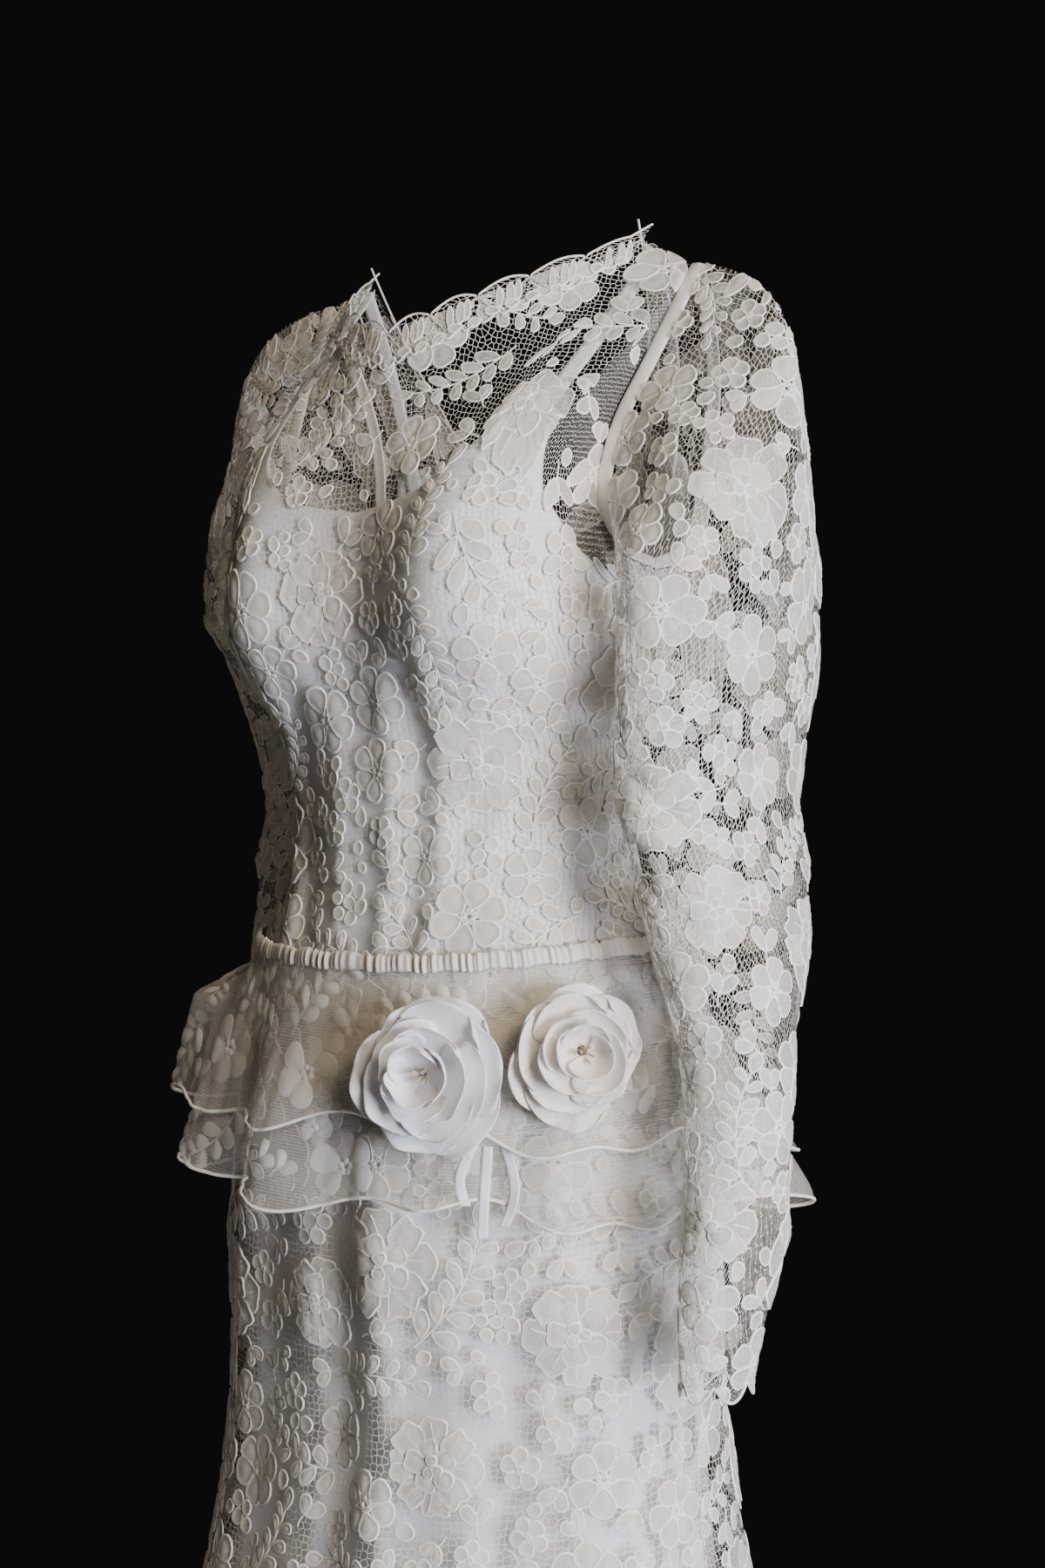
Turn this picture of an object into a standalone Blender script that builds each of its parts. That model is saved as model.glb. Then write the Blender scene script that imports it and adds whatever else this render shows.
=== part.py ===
"""Long-sleeved lace wedding dress with a fluted peplum, worn form, empty inside.

Metres, +Z up, front towards -Y, the wearer's left towards +X. The origin lies midway between
the two neck points of the shoulders, where the dress hangs on its wearer.
"""

import math

import bmesh
import bpy
from mathutils import Vector

# Cloth
LACE_WALL = 0.0010
LINING_DEPTH = 0.0018  # lining's outer face below the lace's outer face
STRAP_DEPTH = 0.0037
SEAM_GAP = 0.0004
LAID_GAP = 0.0009  # between a panel and what is laid on it

# Levels
BUST_Z = -0.235
SEAM_FRONT_Z = -0.455
SEAM_SIDE_RISE = 0.011
HEM_Z = -1.42

# Panels: columns from side seam to side seam, and rows
COLUMNS = 24
HALF = COLUMNS // 2
NECK_COLUMN = 5  # columns from the centre to the neck point
TIP_COLUMN = 6  # and to the shoulder's tip
BODY_ROWS = 5
LINING_ROWS = 2
YOKE_ROWS = 4
ROUNDNESS = 2.3  # exponent of the sections, 2 is an ellipse

# Sections of the lace: height, half width, depth of the front, depth of the back
BODY = (
    (-0.150, 0.136, 0.112, 0.090),
    (-0.205, 0.139, 0.117, 0.092),
    (-0.235, 0.141, 0.119, 0.090),
    (-0.265, 0.138, 0.117, 0.085),
    (-0.300, 0.127, 0.110, 0.074),
    (-0.335, 0.119, 0.107, 0.062),
    (-0.365, 0.116, 0.108, 0.057),
    (-0.400, 0.121, 0.108, 0.060),
    (-0.452, 0.146, 0.117, 0.078),
    (-0.520, 0.160, 0.125, 0.096),
    (-0.610, 0.170, 0.130, 0.106),
    (-0.737, 0.171, 0.127, 0.120),
    (-0.840, 0.181, 0.143, 0.147),
    (-1.000, 0.215, 0.180, 0.190),
    (-1.200, 0.295, 0.250, 0.285),
    (-1.420, 0.400, 0.340, 0.420),
)
BUST_X = 0.091
BUST_OUT = 0.038
BUST_SPREAD_X = 0.040
BUST_SPREAD_Z = 0.045

# Upper edge of the panels by share of the half width: share, x, y, z
NECK_FRONT = ((0.0, -0.085, -0.065), (0.070, -0.075, -0.045), (0.114, 0.028, 0.0))
NECK_BACK = ((0.0, 0.093, -0.165), (0.085, 0.098, -0.150), (0.114, 0.028, 0.0))
SHOULDER_TIP = (0.150, 0.026, -0.022)
SHOULDER_LIFT = 0.014  # the right shoulder is held higher
ARMHOLE_FRONT = (
    (0.50, 0.1500, 0.026, -0.022),
    (0.60, 0.1400, -0.010, -0.083),
    (0.70, 0.1315, -0.034, -0.128),
    (0.80, 0.1300, -0.046, -0.170),
    (0.90, 0.1340, -0.034, -0.197),
    (1.00, 0.1400, 0.000, -0.207),
)
ARMHOLE_BACK = (
    (0.50, 0.1500, 0.026, -0.022),
    (0.60, 0.1430, 0.053, -0.070),
    (0.70, 0.1360, 0.063, -0.115),
    (0.80, 0.1325, 0.058, -0.160),
    (0.90, 0.1350, 0.036, -0.194),
    (1.00, 0.1400, 0.000, -0.207),
)
# Lean of the columns where they meet the upper edge, and the lining's top as a share of the yoke
LEAN_FRONT = ((0.0, 0.25), (0.2, 0.40), (0.4, 0.63), (0.5, 0.62), (0.6, 0.75), (0.8, 0.80), (0.9, 0.6), (1.0, 0.0))
LEAN_BACK = ((0.0, -0.3), (0.2, -0.4), (0.4, -0.6), (0.5, -0.62), (0.6, -0.75), (0.8, -0.8), (0.9, -0.6), (1.0, 0.0))
LINING_TOP = ((0.0, 0.33), (0.2, 0.33), (0.35, 0.40), (0.42, 0.46), (0.5, 0.44), (0.6, 0.36), (0.8, 0.40), (1.0, 0.55))

LIFT_SHARE = ((0.0, 0.0), (0.42, 0.002), (0.5, SHOULDER_LIFT), (0.6, 0.008), (0.8, 0.0), (1.0, 0.0))

# Sleeves: height, x, y, half width across, half depth
SLEEVE_LEFT = (
    (-0.233, 0.1940, -0.006, 0.046, 0.086),
    (-0.290, 0.1905, -0.005, 0.043, 0.084),
    (-0.345, 0.1870, -0.006, 0.0400, 0.080),
    (-0.422, 0.2035, -0.015, 0.038, 0.067),
    (-0.511, 0.2240, -0.034, 0.029, 0.039),
    (-0.594, 0.2310, -0.049, 0.026, 0.036),
    (-0.640, 0.2280, -0.055, 0.023, 0.031),
    (-0.679, 0.2240, -0.057, 0.018, 0.026),
)
SLEEVE_RIGHT = (
    (-0.233, 0.1870, 0.024, 0.041, 0.081),
    (-0.290, 0.1830, 0.052, 0.0385, 0.073),
    (-0.345, 0.1830, 0.066, 0.0370, 0.068),
    (-0.422, 0.1940, 0.062, 0.035, 0.058),
    (-0.511, 0.2140, 0.050, 0.028, 0.038),
    (-0.594, 0.2220, 0.046, 0.026, 0.036),
    (-0.640, 0.2210, 0.042, 0.023, 0.031),
    (-0.679, 0.2180, 0.038, 0.018, 0.026),
)
CAP_OUT = {1: (1.45, 1.15, -0.15), -1: (1.90, 1.60, -0.03)}  # reach, its loss round the armhole, fall
SLEEVE_SIDES = 24
CAP_ROWS = 5
ARM_ROWS = 7
SLEEVE_START = {1: 0.0013, -1: 0.0005}  # outside the bodice's edge
CUFF_SCALLOPS = 6
CUFF_SCALLOP = 0.010

# Neck border, armhole binding and strap
BORDER_DEPTH = 0.027
BORDER_SPLITS = 3
BORDER_SCALLOPS = 10
BORDER_SCALLOP = 0.006
BORDER_TIP = 0.012
BORDER_WALL = 0.0010
BINDING_WIDTH = 0.011
STRAP_WIDTH = 0.011
STRAP_FOOT = 0.52  # share of the shoulder column's width, at the foot and on the shoulder
STRAP_TOP = 0.17

# Peplum and its gathered heading
FLUTES = 11
FLOUNCE_COLUMNS = 77
FLOUNCE_ROWS = (0.0, 0.1, 0.36, 0.68, 1.0)  # shares of the drop
FLOUNCE_TOP_OUT = 0.0005
UPPER_OUT = 0.0016
UPPER_SPREAD = 0.0040
# Flutes that stand out further: angle in degrees, reach, drops where it starts and is full, lower's share
TALL_FLUTES = ((150.0, 0.034, 0.017, 0.037, 0.62), (325.0, 0.036, 0.055, 0.155, 1.0))
FLUTE_WIDTH = 10.0
UPPER_HEM = (-0.548, -0.576)
LOWER_HEM = (-0.594, -0.613)
HEM_SWAY = ((5, 1.3, 0.0060), (13, 0.4, 0.0040))  # waves round, phase, height
RUCHE_WAVES = 50
RUCHE_HEIGHT = 0.010
RUCHE_WAVE = 0.0012
RUCHE_OUT = 0.0064

# Skirt
SKIRT_COLUMNS = 24
SKIRT_ROWS = 8
SKIRT_FOLDS = 9
FOLD_DEPTH = 0.016
FOLD_START_Z = -0.80
LINING_LIFT = 0.015
LINING_SLACK = 0.050  # how far further inside the lining hangs at the hem, twice that behind
CREASE_X = 0.028
CREASE_OUT = 0.004

# Flowers: centre (x, z) on the flounce, radius
ROSE_WHITE = (0.0730, -0.515, 0.045)
ROSE_CREAM = (0.1310, -0.502, 0.038)
ROSE_LIFT = {"white": 0.0108, "cream": 0.0101}  # off the flounce
PETAL_WALL = 0.0009
ROSE_SIDES = 20
RIBBON_WIDTH = 0.005
RIBBON_WALL = 0.0010
RIBBON_OUT = 0.0036
RIBBONS = (
    (0.100, 0.000, -0.556, -0.609),
    (0.108, 0.006, -0.556, -0.602),
    (0.093, -0.005, -0.556, -0.590),
)

# Buttons
BUTTON_RADIUS = 0.0055
BUTTON_HEIGHT = 0.004
BUTTONS = 6
BUTTON_TOP_Z = -0.205
BUTTON_STEP = 0.043


def lerp(table, key, column=1):
    """Value of a column between the rows of a table, straight."""
    rows = sorted(table)
    if key <= rows[0][0]:
        return rows[0][column]
    for low, high in zip(rows, rows[1:]):
        if key <= high[0]:
            share = (key - low[0]) / (high[0] - low[0])
            return low[column] + share * (high[column] - low[column])
    return rows[-1][column]


def smooth(table, key, column=1):
    """Value of a column between the rows of a table, on a smooth curve."""
    rows = sorted(table)
    keys = [row[0] for row in rows]
    values = [row[column] for row in rows]
    if key <= keys[0]:
        return values[0]
    if key >= keys[-1]:
        return values[-1]
    at = max(i for i, k in enumerate(keys) if k <= key)
    at = min(at, len(keys) - 2)
    span = keys[at + 1] - keys[at]
    share = (key - keys[at]) / span

    def slope(i):
        low, high = max(i - 1, 0), min(i + 1, len(keys) - 1)
        return (values[high] - values[low]) / (keys[high] - keys[low])

    a, b = values[at], values[at + 1]
    da, db = slope(at) * span, slope(at + 1) * span
    s2, s3 = share * share, share ** 3
    return (
        a * (2 * s3 - 3 * s2 + 1)
        + da * (s3 - 2 * s2 + share)
        + b * (3 * s2 - 2 * s3)
        + db * (s3 - s2)
    )


def power(value, exponent):
    return math.copysign(abs(value) ** exponent, value)


def seam_z(angle):
    """Height of the waist seam round the body; it rises at the sides."""
    return SEAM_FRONT_Z + SEAM_SIDE_RISE * math.cos(angle) ** 2


def fold_share(angle, z):
    """Outward push of the skirt's folds."""
    if z >= FOLD_START_Z:
        return 0.0
    grow = ((FOLD_START_Z - z) / (FOLD_START_Z - HEM_Z)) ** 1.2
    wave = math.cos(SKIRT_FOLDS * angle + 0.6) + 0.35 * math.cos(5 * angle + 2.0)
    return FOLD_DEPTH * grow * wave


def body(angle, z):
    """Point of the lace's outer face. The angle runs from +X through the front."""
    width = smooth(BODY, z, 1)
    front = smooth(BODY, z, 2)
    back = smooth(BODY, z, 3)
    sine, cosine = math.sin(angle), math.cos(angle)
    x = width * power(cosine, 2 / ROUNDNESS)
    y = -(front if sine >= 0 else back) * power(sine, 2 / ROUNDNESS)
    if sine > 0:
        for apex in (-BUST_X, BUST_X):
            across = (x - apex) / BUST_SPREAD_X
            up = (z - BUST_Z) / BUST_SPREAD_Z
            y -= BUST_OUT * math.exp(-0.5 * (across * across + up * up))
        if z < SEAM_FRONT_Z:
            fade = min(1.0, (SEAM_FRONT_Z - z) / 0.12)
            y -= CREASE_OUT * fade * math.exp(-0.5 * ((x - CREASE_X) / 0.013) ** 2)
    push = fold_share(angle, z)
    length = math.hypot(x, y)
    return Vector((x + push * x / length, y + push * y / length, z))


def bezier(points, share):
    a, b, c = (Vector(point) for point in points)
    return a * (1 - share) ** 2 + b * 2 * share * (1 - share) + c * share ** 2


def upper_edge(share, is_front):
    """Neckline, shoulder and armhole, by share of the half width from the centre."""
    neck = NECK_COLUMN / HALF
    tip = TIP_COLUMN / HALF
    if share <= neck:
        return bezier(NECK_FRONT if is_front else NECK_BACK, share / neck)
    if share <= tip:
        end = Vector(NECK_FRONT[2])
        return end.lerp(Vector(SHOULDER_TIP), (share - neck) / (tip - neck))
    table = ARMHOLE_FRONT if is_front else ARMHOLE_BACK
    return Vector([smooth(table, share, column) for column in (1, 2, 3)])


def yoke(column, rise, is_front):
    """Point above the bust line; rise runs from 0 there to 1 at the upper edge."""
    turn = math.pi * column / COLUMNS
    angle = turn if is_front else 2 * math.pi - turn
    low = body(angle, BUST_Z)
    share = abs(column - HALF) / HALF
    top = upper_edge(share, is_front)
    if column > HALF:
        top.x = -top.x
        top.z += lerp(LIFT_SHARE, share)
    reach = (top - low).length
    lean = lerp(LEAN_FRONT if is_front else LEAN_BACK, share)
    start = Vector((0, 0, reach))
    end = Vector((0, lean, math.sqrt(1 - lean * lean))) * reach
    s2, s3 = rise * rise, rise ** 3
    return (
        low * (2 * s3 - 3 * s2 + 1)
        + start * (s3 - 2 * s2 + rise)
        + top * (3 * s2 - 2 * s3)
        + end * (s3 - s2)
    )


def panel(is_front):
    """Rows of the lace's outer face, seam to upper edge, each from the left side to the right."""
    rows = []
    for row in range(BODY_ROWS + 1):
        points = []
        for column in range(COLUMNS + 1):
            turn = math.pi * column / COLUMNS
            angle = turn if is_front else 2 * math.pi - turn
            low = seam_z(angle) + SEAM_GAP / 2
            points.append(body(angle, low + (BUST_Z - low) * row / BODY_ROWS))
        rows.append(points)
    for row in range(1, LINING_ROWS + YOKE_ROWS + 1):
        points = []
        for column in range(COLUMNS + 1):
            top = lerp(LINING_TOP, abs(column - HALF) / HALF)
            if row <= LINING_ROWS:
                rise = top * row / LINING_ROWS
            else:
                rise = top + (1 - top) * (row - LINING_ROWS) / YOKE_ROWS
            points.append(yoke(column, rise, is_front))
        rows.append(points)
    return rows


def normals(rows, closed=False, flip=False):
    """Unit normals of a grid of points."""
    result = []
    last = len(rows) - 1
    wide = len(rows[0])
    for i, row in enumerate(rows):
        line = []
        for j in range(wide):
            if closed:
                along = row[(j + 1) % wide] - row[j - 1]
            else:
                along = row[min(j + 1, wide - 1)] - row[max(j - 1, 0)]
            across = rows[min(i + 1, last)][j] - rows[max(i - 1, 0)][j]
            normal = along.cross(across)
            normal = normal.normalized() if normal.length > 1e-12 else Vector((0, 0, 1))
            line.append(-normal if flip else normal)
        result.append(line)
    return result


def moved(rows, directions, distance):
    return [[p + d * distance for p, d in zip(r, n)] for r, n in zip(rows, directions)]


def material(name, colour, roughness):
    shader = bpy.data.materials.new(name)
    shader.use_nodes = True
    node = shader.node_tree.nodes["Principled BSDF"]
    node.inputs["Base Color"].default_value = (*colour, 1)
    node.inputs["Roughness"].default_value = roughness
    return shader


def finish(name, mesh_data, shader):
    mesh = bpy.data.meshes.new(name)
    mesh_data.normal_update()
    if mesh_data.calc_volume(signed=True) < 0:
        bmesh.ops.reverse_faces(mesh_data, faces=mesh_data.faces)
    mesh_data.to_mesh(mesh)
    mesh_data.free()
    mesh.shade_smooth()
    mesh.set_sharp_from_angle(angle=math.radians(50))
    piece = bpy.data.objects.new(name, mesh)
    bpy.context.collection.objects.link(piece)
    mesh.materials.append(shader)
    return piece


def wall(name, outer, inner, shader, closed=False):
    """Closed cloth wall between two grids of points, open or closed in a ring."""
    data = bmesh.new()
    skins = [[[data.verts.new(p) for p in row] for row in rows] for rows in (outer, inner)]
    tall, wide = len(outer), len(outer[0])
    steps = wide if closed else wide - 1
    for side, grid in enumerate(skins):
        for i in range(tall - 1):
            for j in range(steps):
                k = (j + 1) % wide
                a, b, c, d = grid[i][j], grid[i][k], grid[i + 1][k], grid[i + 1][j]
                for face in ([a, b, c], [a, c, d]):
                    data.faces.new(face if side == 0 else face[::-1])
    first, second = skins
    for j in range(steps):
        k = (j + 1) % wide
        data.faces.new([first[0][k], first[0][j], second[0][j], second[0][k]])
        data.faces.new([first[-1][j], first[-1][k], second[-1][k], second[-1][j]])
    if not closed:
        for i in range(tall - 1):
            data.faces.new([first[i][0], first[i + 1][0], second[i + 1][0], second[i][0]])
            data.faces.new([first[i + 1][-1], first[i][-1], second[i][-1], second[i + 1][-1]])
    bmesh.ops.triangulate(data, faces=data.faces, quad_method="FIXED")
    return finish(name, data, shader)


def part_seams(rows, is_front):
    """Front and back panels stay half a seam gap apart at the sides and on the shoulders."""
    push = Vector((0, -SEAM_GAP / 2 if is_front else SEAM_GAP / 2, 0))
    top = len(rows) - 1
    for i, row in enumerate(rows):
        for j in range(len(row)):
            at_side = j in (0, len(row) - 1)
            share = abs(j - HALF)
            at_shoulder = i == top and NECK_COLUMN <= share <= TIP_COLUMN
            if at_side or at_shoulder:
                row[j] = row[j] + push
    return rows


def between(grid, row, column):
    """Point of a grid's facets at a broken row and column."""
    i = min(int(row), len(grid) - 2)
    j = min(int(column), len(grid[0]) - 2)
    across, up = column - j, row - i
    a, b = grid[i][j], grid[i][j + 1]
    c, d = grid[i + 1][j + 1], grid[i + 1][j]
    if up <= across:
        return a + (b - a) * across + (c - b) * up
    return a + (d - a) * up + (c - d) * across


def ring_normals(front, back):
    """Outward normals of a front and a back grid that meet at the sides."""
    last = len(front[0]) - 1
    rings = [f + b[-2:0:-1] for f, b in zip(front, back)]
    found = normals(rings, closed=True)
    if found[2][last // 2].y > 0:
        found = [[-n for n in line] for line in found]
    behind = [[line[-j % (2 * last)] for j in range(last + 1)] for line in found]
    return [line[: last + 1] for line in found], behind


def level_row(line):
    """Normals along the waist seam lie level, so that the walls above and below meet."""
    for j, normal in enumerate(line):
        line[j] = Vector((normal.x, normal.y, 0)).normalized()


def bodice_grids():
    """The lace's outer grids and normals, front and back."""
    front, back = panel(True), panel(False)
    ahead, behind = ring_normals(front, back)
    level_row(ahead[0])
    level_row(behind[0])
    for away in range(NECK_COLUMN, TIP_COLUMN + 1):
        for column in (HALF - away, HALF + away):
            shared = (ahead[-1][column] + behind[-1][column]).normalized()
            ahead[-1][column] = shared
            behind[-1][column] = shared
    return {True: (front, ahead), False: (back, behind)}


def make_bodice(grids, lace, satin):
    """Lace and lining panels of the bodice."""
    for is_front in (True, False):
        rows, outward = grids[is_front]
        laid = part_seams([row[:] for row in rows], is_front)
        inner = moved(laid, outward, -LACE_WALL)
        if is_front:
            wall("bodice_front", laid, inner, lace)
        else:
            for name, low, high, push in (
                ("bodice_back_left", 0, HALF + 1, SEAM_GAP / 2),
                ("bodice_back_right", HALF, COLUMNS + 1, -SEAM_GAP / 2),
            ):
                cut = [[p.copy() for p in row[low:high]] for row in laid]
                back = [[p.copy() for p in row[low:high]] for row in inner]
                edge = -1 if low == 0 else 0
                for row in cut + back:
                    row[edge].x += push
                wall(name, cut, back, lace)
        count = BODY_ROWS + LINING_ROWS + 1
        depth = moved(laid, outward, -LINING_DEPTH)[:count]
        deeper = moved(depth, outward[:count], -LACE_WALL)
        name = "lining_bodice_front" if is_front else "lining_bodice_back"
        wall(name, depth, deeper, satin)


def make_straps(grids, satin):
    first = BODY_ROWS + LINING_ROWS - 0.35
    top = BODY_ROWS + LINING_ROWS + YOKE_ROWS
    levels = [first] + list(range(BODY_ROWS + LINING_ROWS, top + 1))
    for name, side in (("lining_strap_left", 1), ("lining_strap_right", -1)):
        path = []
        for is_front in (True, False):
            rows, outward = grids[is_front]
            under = moved(rows, outward, -STRAP_DEPTH)
            line = []
            for level in levels:
                share = max(0.0, (level - first) / (top - first))
                place = STRAP_FOOT + (STRAP_TOP - STRAP_FOOT) * share
                centre = HALF - side * (NECK_COLUMN + place)
                low = HALF - side * NECK_COLUMN
                cell = (between(under, level, low) - between(under, level, low - side)).length
                half = STRAP_WIDTH / 2 / cell
                edges = [between(under, level, centre - half), between(under, level, centre + half)]
                line.append(edges)
            path.append(line)
        front, back = path
        over = [a.lerp(b, 0.5) for a, b in zip(front[-1], back[-1])]
        strip = front[:-1] + [over] + back[:-1][::-1]
        outward = normals(strip)
        if outward[len(front) - 1][0].z < 0:
            outward = [[-n for n in line] for line in outward]
        wall(name, strip, moved(strip, outward, -LACE_WALL), satin)


def make_border(grids, lace):
    """Scalloped edging laid over the yoke along the neckline."""
    top = BODY_ROWS + LINING_ROWS + YOKE_ROWS
    for is_front in (True, False):
        rows, outward = grids[is_front]
        steps = 2 * NECK_COLUMN * BORDER_SPLITS
        lines = [[] for level in range(3)]
        for step in range(steps + 1):
            column = HALF - NECK_COLUMN + step / BORDER_SPLITS
            edge = between(rows, top, column)
            below = between(rows, top - 1, column)
            reach = (edge - below).length
            depth = min(BORDER_DEPTH / reach, 0.95)
            normal = between(outward, top - 0.5, column).normalized()
            place = step / steps
            wave = abs(math.sin(math.pi * BORDER_SCALLOPS * place))
            tip = BORDER_TIP * max(0.0, 1 - min(place, 1 - place) / 0.03)
            lean = (edge - below).normalized()
            if step in (0, steps):
                lean = Vector((0, 0, 1))
            rise = lean * (BORDER_SCALLOP * wave + tip)
            lift = normal * (LAID_GAP + BORDER_WALL)
            lines[0].append(between(rows, top - depth, column) + lift)
            lines[1].append(edge + lift)
            lines[2].append(edge + rise + lift)
        push = Vector((0, -SEAM_GAP if is_front else SEAM_GAP, 0))
        for line in lines:
            for end in (0, -1):
                line[end] = line[end] + push
        outer = normals(lines)
        if outer[1][len(outer[1]) // 2].y * (1 if is_front else -1) > 0:
            outer = [[-n for n in line] for line in outer]
        for line in outer:
            for end in (0, -1):
                line[end] = between(outward, top, HALF - NECK_COLUMN * (1 if end == 0 else -1))
        name = "neck_border_front" if is_front else "neck_border_back"
        wall(name, lines, moved(lines, outer, -BORDER_WALL), lace)


def armhole_point(grids, step, side):
    """Start of the sleeve at a step round the armhole, from the shoulder through the front."""
    half = SLEEVE_SIDES // 2
    is_front = step <= half
    share = step / half if is_front else 2 - step / half
    away = TIP_COLUMN + (HALF - TIP_COLUMN) * share
    rows = grids[is_front][0]
    start = between(rows, len(rows) - 1, HALF - side * away)
    start.x = start.x * side + SLEEVE_START[side]
    return start, share


def sleeve_ring(table, z, turn):
    x = smooth(table, z, 1)
    y = smooth(table, z, 2)
    wide = smooth(table, z, 3)
    deep = smooth(table, z, 4)
    return Vector((x + wide * math.cos(turn), y - deep * math.sin(turn), z))


def cap_point(grids, table, side, step, width, rise):
    """Point of the sleeve's cap: width along it, then rise from there (0) to its last ring (1)."""
    start, share = armhole_point(grids, step, side)
    end = sleeve_ring(table, table[0][0], 2 * math.pi * step / SLEEVE_SIDES)
    reach = (end - start).length
    most, loss, fall = CAP_OUT[side]
    out = Vector((1, 0, fall)).normalized() * reach * (most - loss * share)
    down = Vector((0, 0, -1)) * reach
    first = min(width / out.length, 0.4 * width / (BINDING_WIDTH + SEAM_GAP))
    along = first + (1 - first) * rise
    s2, s3 = along * along, along ** 3
    return (
        start * (2 * s3 - 3 * s2 + 1)
        + out * (s3 - 2 * s2 + along)
        + end * (3 * s2 - 2 * s3)
        + down * (s3 - s2)
    )


def sleeve_rows(grids, table, side):
    """Outer face of a sleeve: cap from the binding, then rings down to the scalloped cuff."""
    steps = range(SLEEVE_SIDES)
    rows = []
    for row in range(CAP_ROWS + 1):
        rise = row / CAP_ROWS
        start = BINDING_WIDTH + SEAM_GAP
        rows.append([cap_point(grids, table, side, step, start, rise) for step in steps])
    high, low = table[0][0], table[-1][0]
    for row in range(1, ARM_ROWS + 1):
        z = high + (low - high) * row / ARM_ROWS
        rows.append([sleeve_ring(table, z, 2 * math.pi * step / SLEEVE_SIDES) for step in steps])
    edge = []
    for step, point in enumerate(rows[-1]):
        wave = abs(math.sin(math.pi * CUFF_SCALLOPS * (step + 0.5) / SLEEVE_SIDES))
        edge.append(point + Vector((0, 0, -0.004 - CUFF_SCALLOP * wave)))
    rows.append(edge)
    return rows


def make_sleeves(grids, lace):
    """Sleeves, and the bound seam that joins each to its armhole."""
    for name, table, side in (("left", SLEEVE_LEFT, 1), ("right", SLEEVE_RIGHT, -1)):
        band = []
        for width in (0.0, BINDING_WIDTH / 2, BINDING_WIDTH):
            band.append([
                cap_point(grids, table, side, step, width, 0.0) for step in range(SLEEVE_SIDES)
            ])
        rows = band + sleeve_rows(grids, table, side)
        for row in rows:
            for point in row:
                point.x *= side
        outward = normals(rows, closed=True)
        middle = rows[len(band) + CAP_ROWS + 2]
        centre = sum(middle, Vector()) / len(middle)
        if outward[len(band) + CAP_ROWS + 2][0].dot(middle[0] - centre) < 0:
            outward = [[-n for n in line] for line in outward]
        inner = moved(rows, outward, -LACE_WALL)
        cut = len(band)
        wall("armhole_binding_" + name, rows[:cut], inner[:cut], lace, closed=True)
        wall("sleeve_" + name, rows[cut:], inner[cut:], lace, closed=True)


def skirt_grid(is_front, lift):
    """Rows of the skirt's outer face from the waist seam down."""
    rows = []
    for row in range(SKIRT_ROWS + 1):
        points = []
        share = (row / SKIRT_ROWS) ** 1.1
        for column in range(SKIRT_COLUMNS + 1):
            turn = math.pi * column / SKIRT_COLUMNS
            angle = turn if is_front else 2 * math.pi - turn
            high = seam_z(angle) - SEAM_GAP / 2
            points.append(body(angle, high + (HEM_Z + lift - high) * share))
        rows.append(points)
    return rows


def make_skirt(lace, satin):
    """Lace skirt and its lining, which hangs further inside towards the hem."""
    for layer, lift, shader in (("skirt_", 0.0, lace), ("skirt_lining_", LINING_LIFT, satin)):
        front, back = skirt_grid(True, lift), skirt_grid(False, lift)
        ahead, behind = ring_normals(front, back)
        for row in range(len(ahead) if lift else 1):
            level_row(ahead[row])
            level_row(behind[row])
        for side, rows, outward in (("front", front, ahead), ("back", back, behind)):
            push = Vector((0, -SEAM_GAP / 2 if side == "front" else SEAM_GAP / 2, 0))
            for row, line in enumerate(rows):
                share = (row / SKIRT_ROWS) ** 1.1
                for j, point in enumerate(line):
                    rear = 0.0 if side == "front" else math.sin(math.pi * j / SKIRT_COLUMNS)
                    depth = 0.0
                    if lift:
                        depth = LINING_DEPTH + LINING_SLACK * share ** 1.5 * (1 + rear)
                    line[j] = point - outward[row][j] * depth
                line[0] = line[0] + push
                line[-1] = line[-1] + push
            wall(layer + side, rows, moved(rows, outward, -LACE_WALL), shader)


def body_normal(angle, z):
    step = 0.01
    along = body(angle + step, z) - body(angle - step, z)
    normal = along.cross(Vector((0, 0, 1)))
    normal.z = 0
    normal.normalize()
    point = body(angle, z)
    if normal.dot(Vector((point.x, point.y, 0))) < 0:
        normal = -normal
    return normal


def flounce_out(angle, drop, is_lower=False):
    """How far the flounces stand off the skirt, by angle and drop below the seam."""
    reach = drop / 0.14
    side = abs(math.cos(angle)) ** 6
    behind = max(0.0, -math.sin(angle))
    right = max(0.0, -math.cos(angle)) * (1 - side)
    flare = 0.013 + 0.026 * behind + 0.016 * right
    wave = 0.0075 + 0.012 * behind + 0.012 * right
    ripple = math.sin(FLUTES * angle + 0.9) + 0.30 * math.sin(7 * angle + 2.2)
    free = 1 - 0.88 * side
    tall = 0.0
    for centre, out, first, full, lower in TALL_FLUTES:
        away = (math.degrees(angle) % 360 - centre) / FLUTE_WIDTH
        grown = min(1.0, max(0.0, drop - first) / (full - first))
        tall += out * grown * math.exp(-away * away) * (lower if is_lower else 1.0)
    return (flare * reach + wave * ripple * reach ** 1.2) * free + tall


def flounce_point(angle, drop, out, is_lower=False):
    z = seam_z(angle) - drop
    place = body(angle, z)
    return place + body_normal(angle, z) * (out + max(flounce_out(angle, drop, is_lower), 0.0))


def flounce_drop(angle, hems, share, is_lower):
    """Drop of a flounce's hem below the seam, longer at the back and uneven."""
    behind = 0.5 - 0.5 * math.sin(angle)
    hem = hems[0] + (hems[1] - hems[0]) * behind
    for waves, phase, height in HEM_SWAY:
        hem += height * math.sin(waves * angle + phase + (1.1 if is_lower else 0.0))
    return (seam_z(angle) - hem) * share


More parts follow.
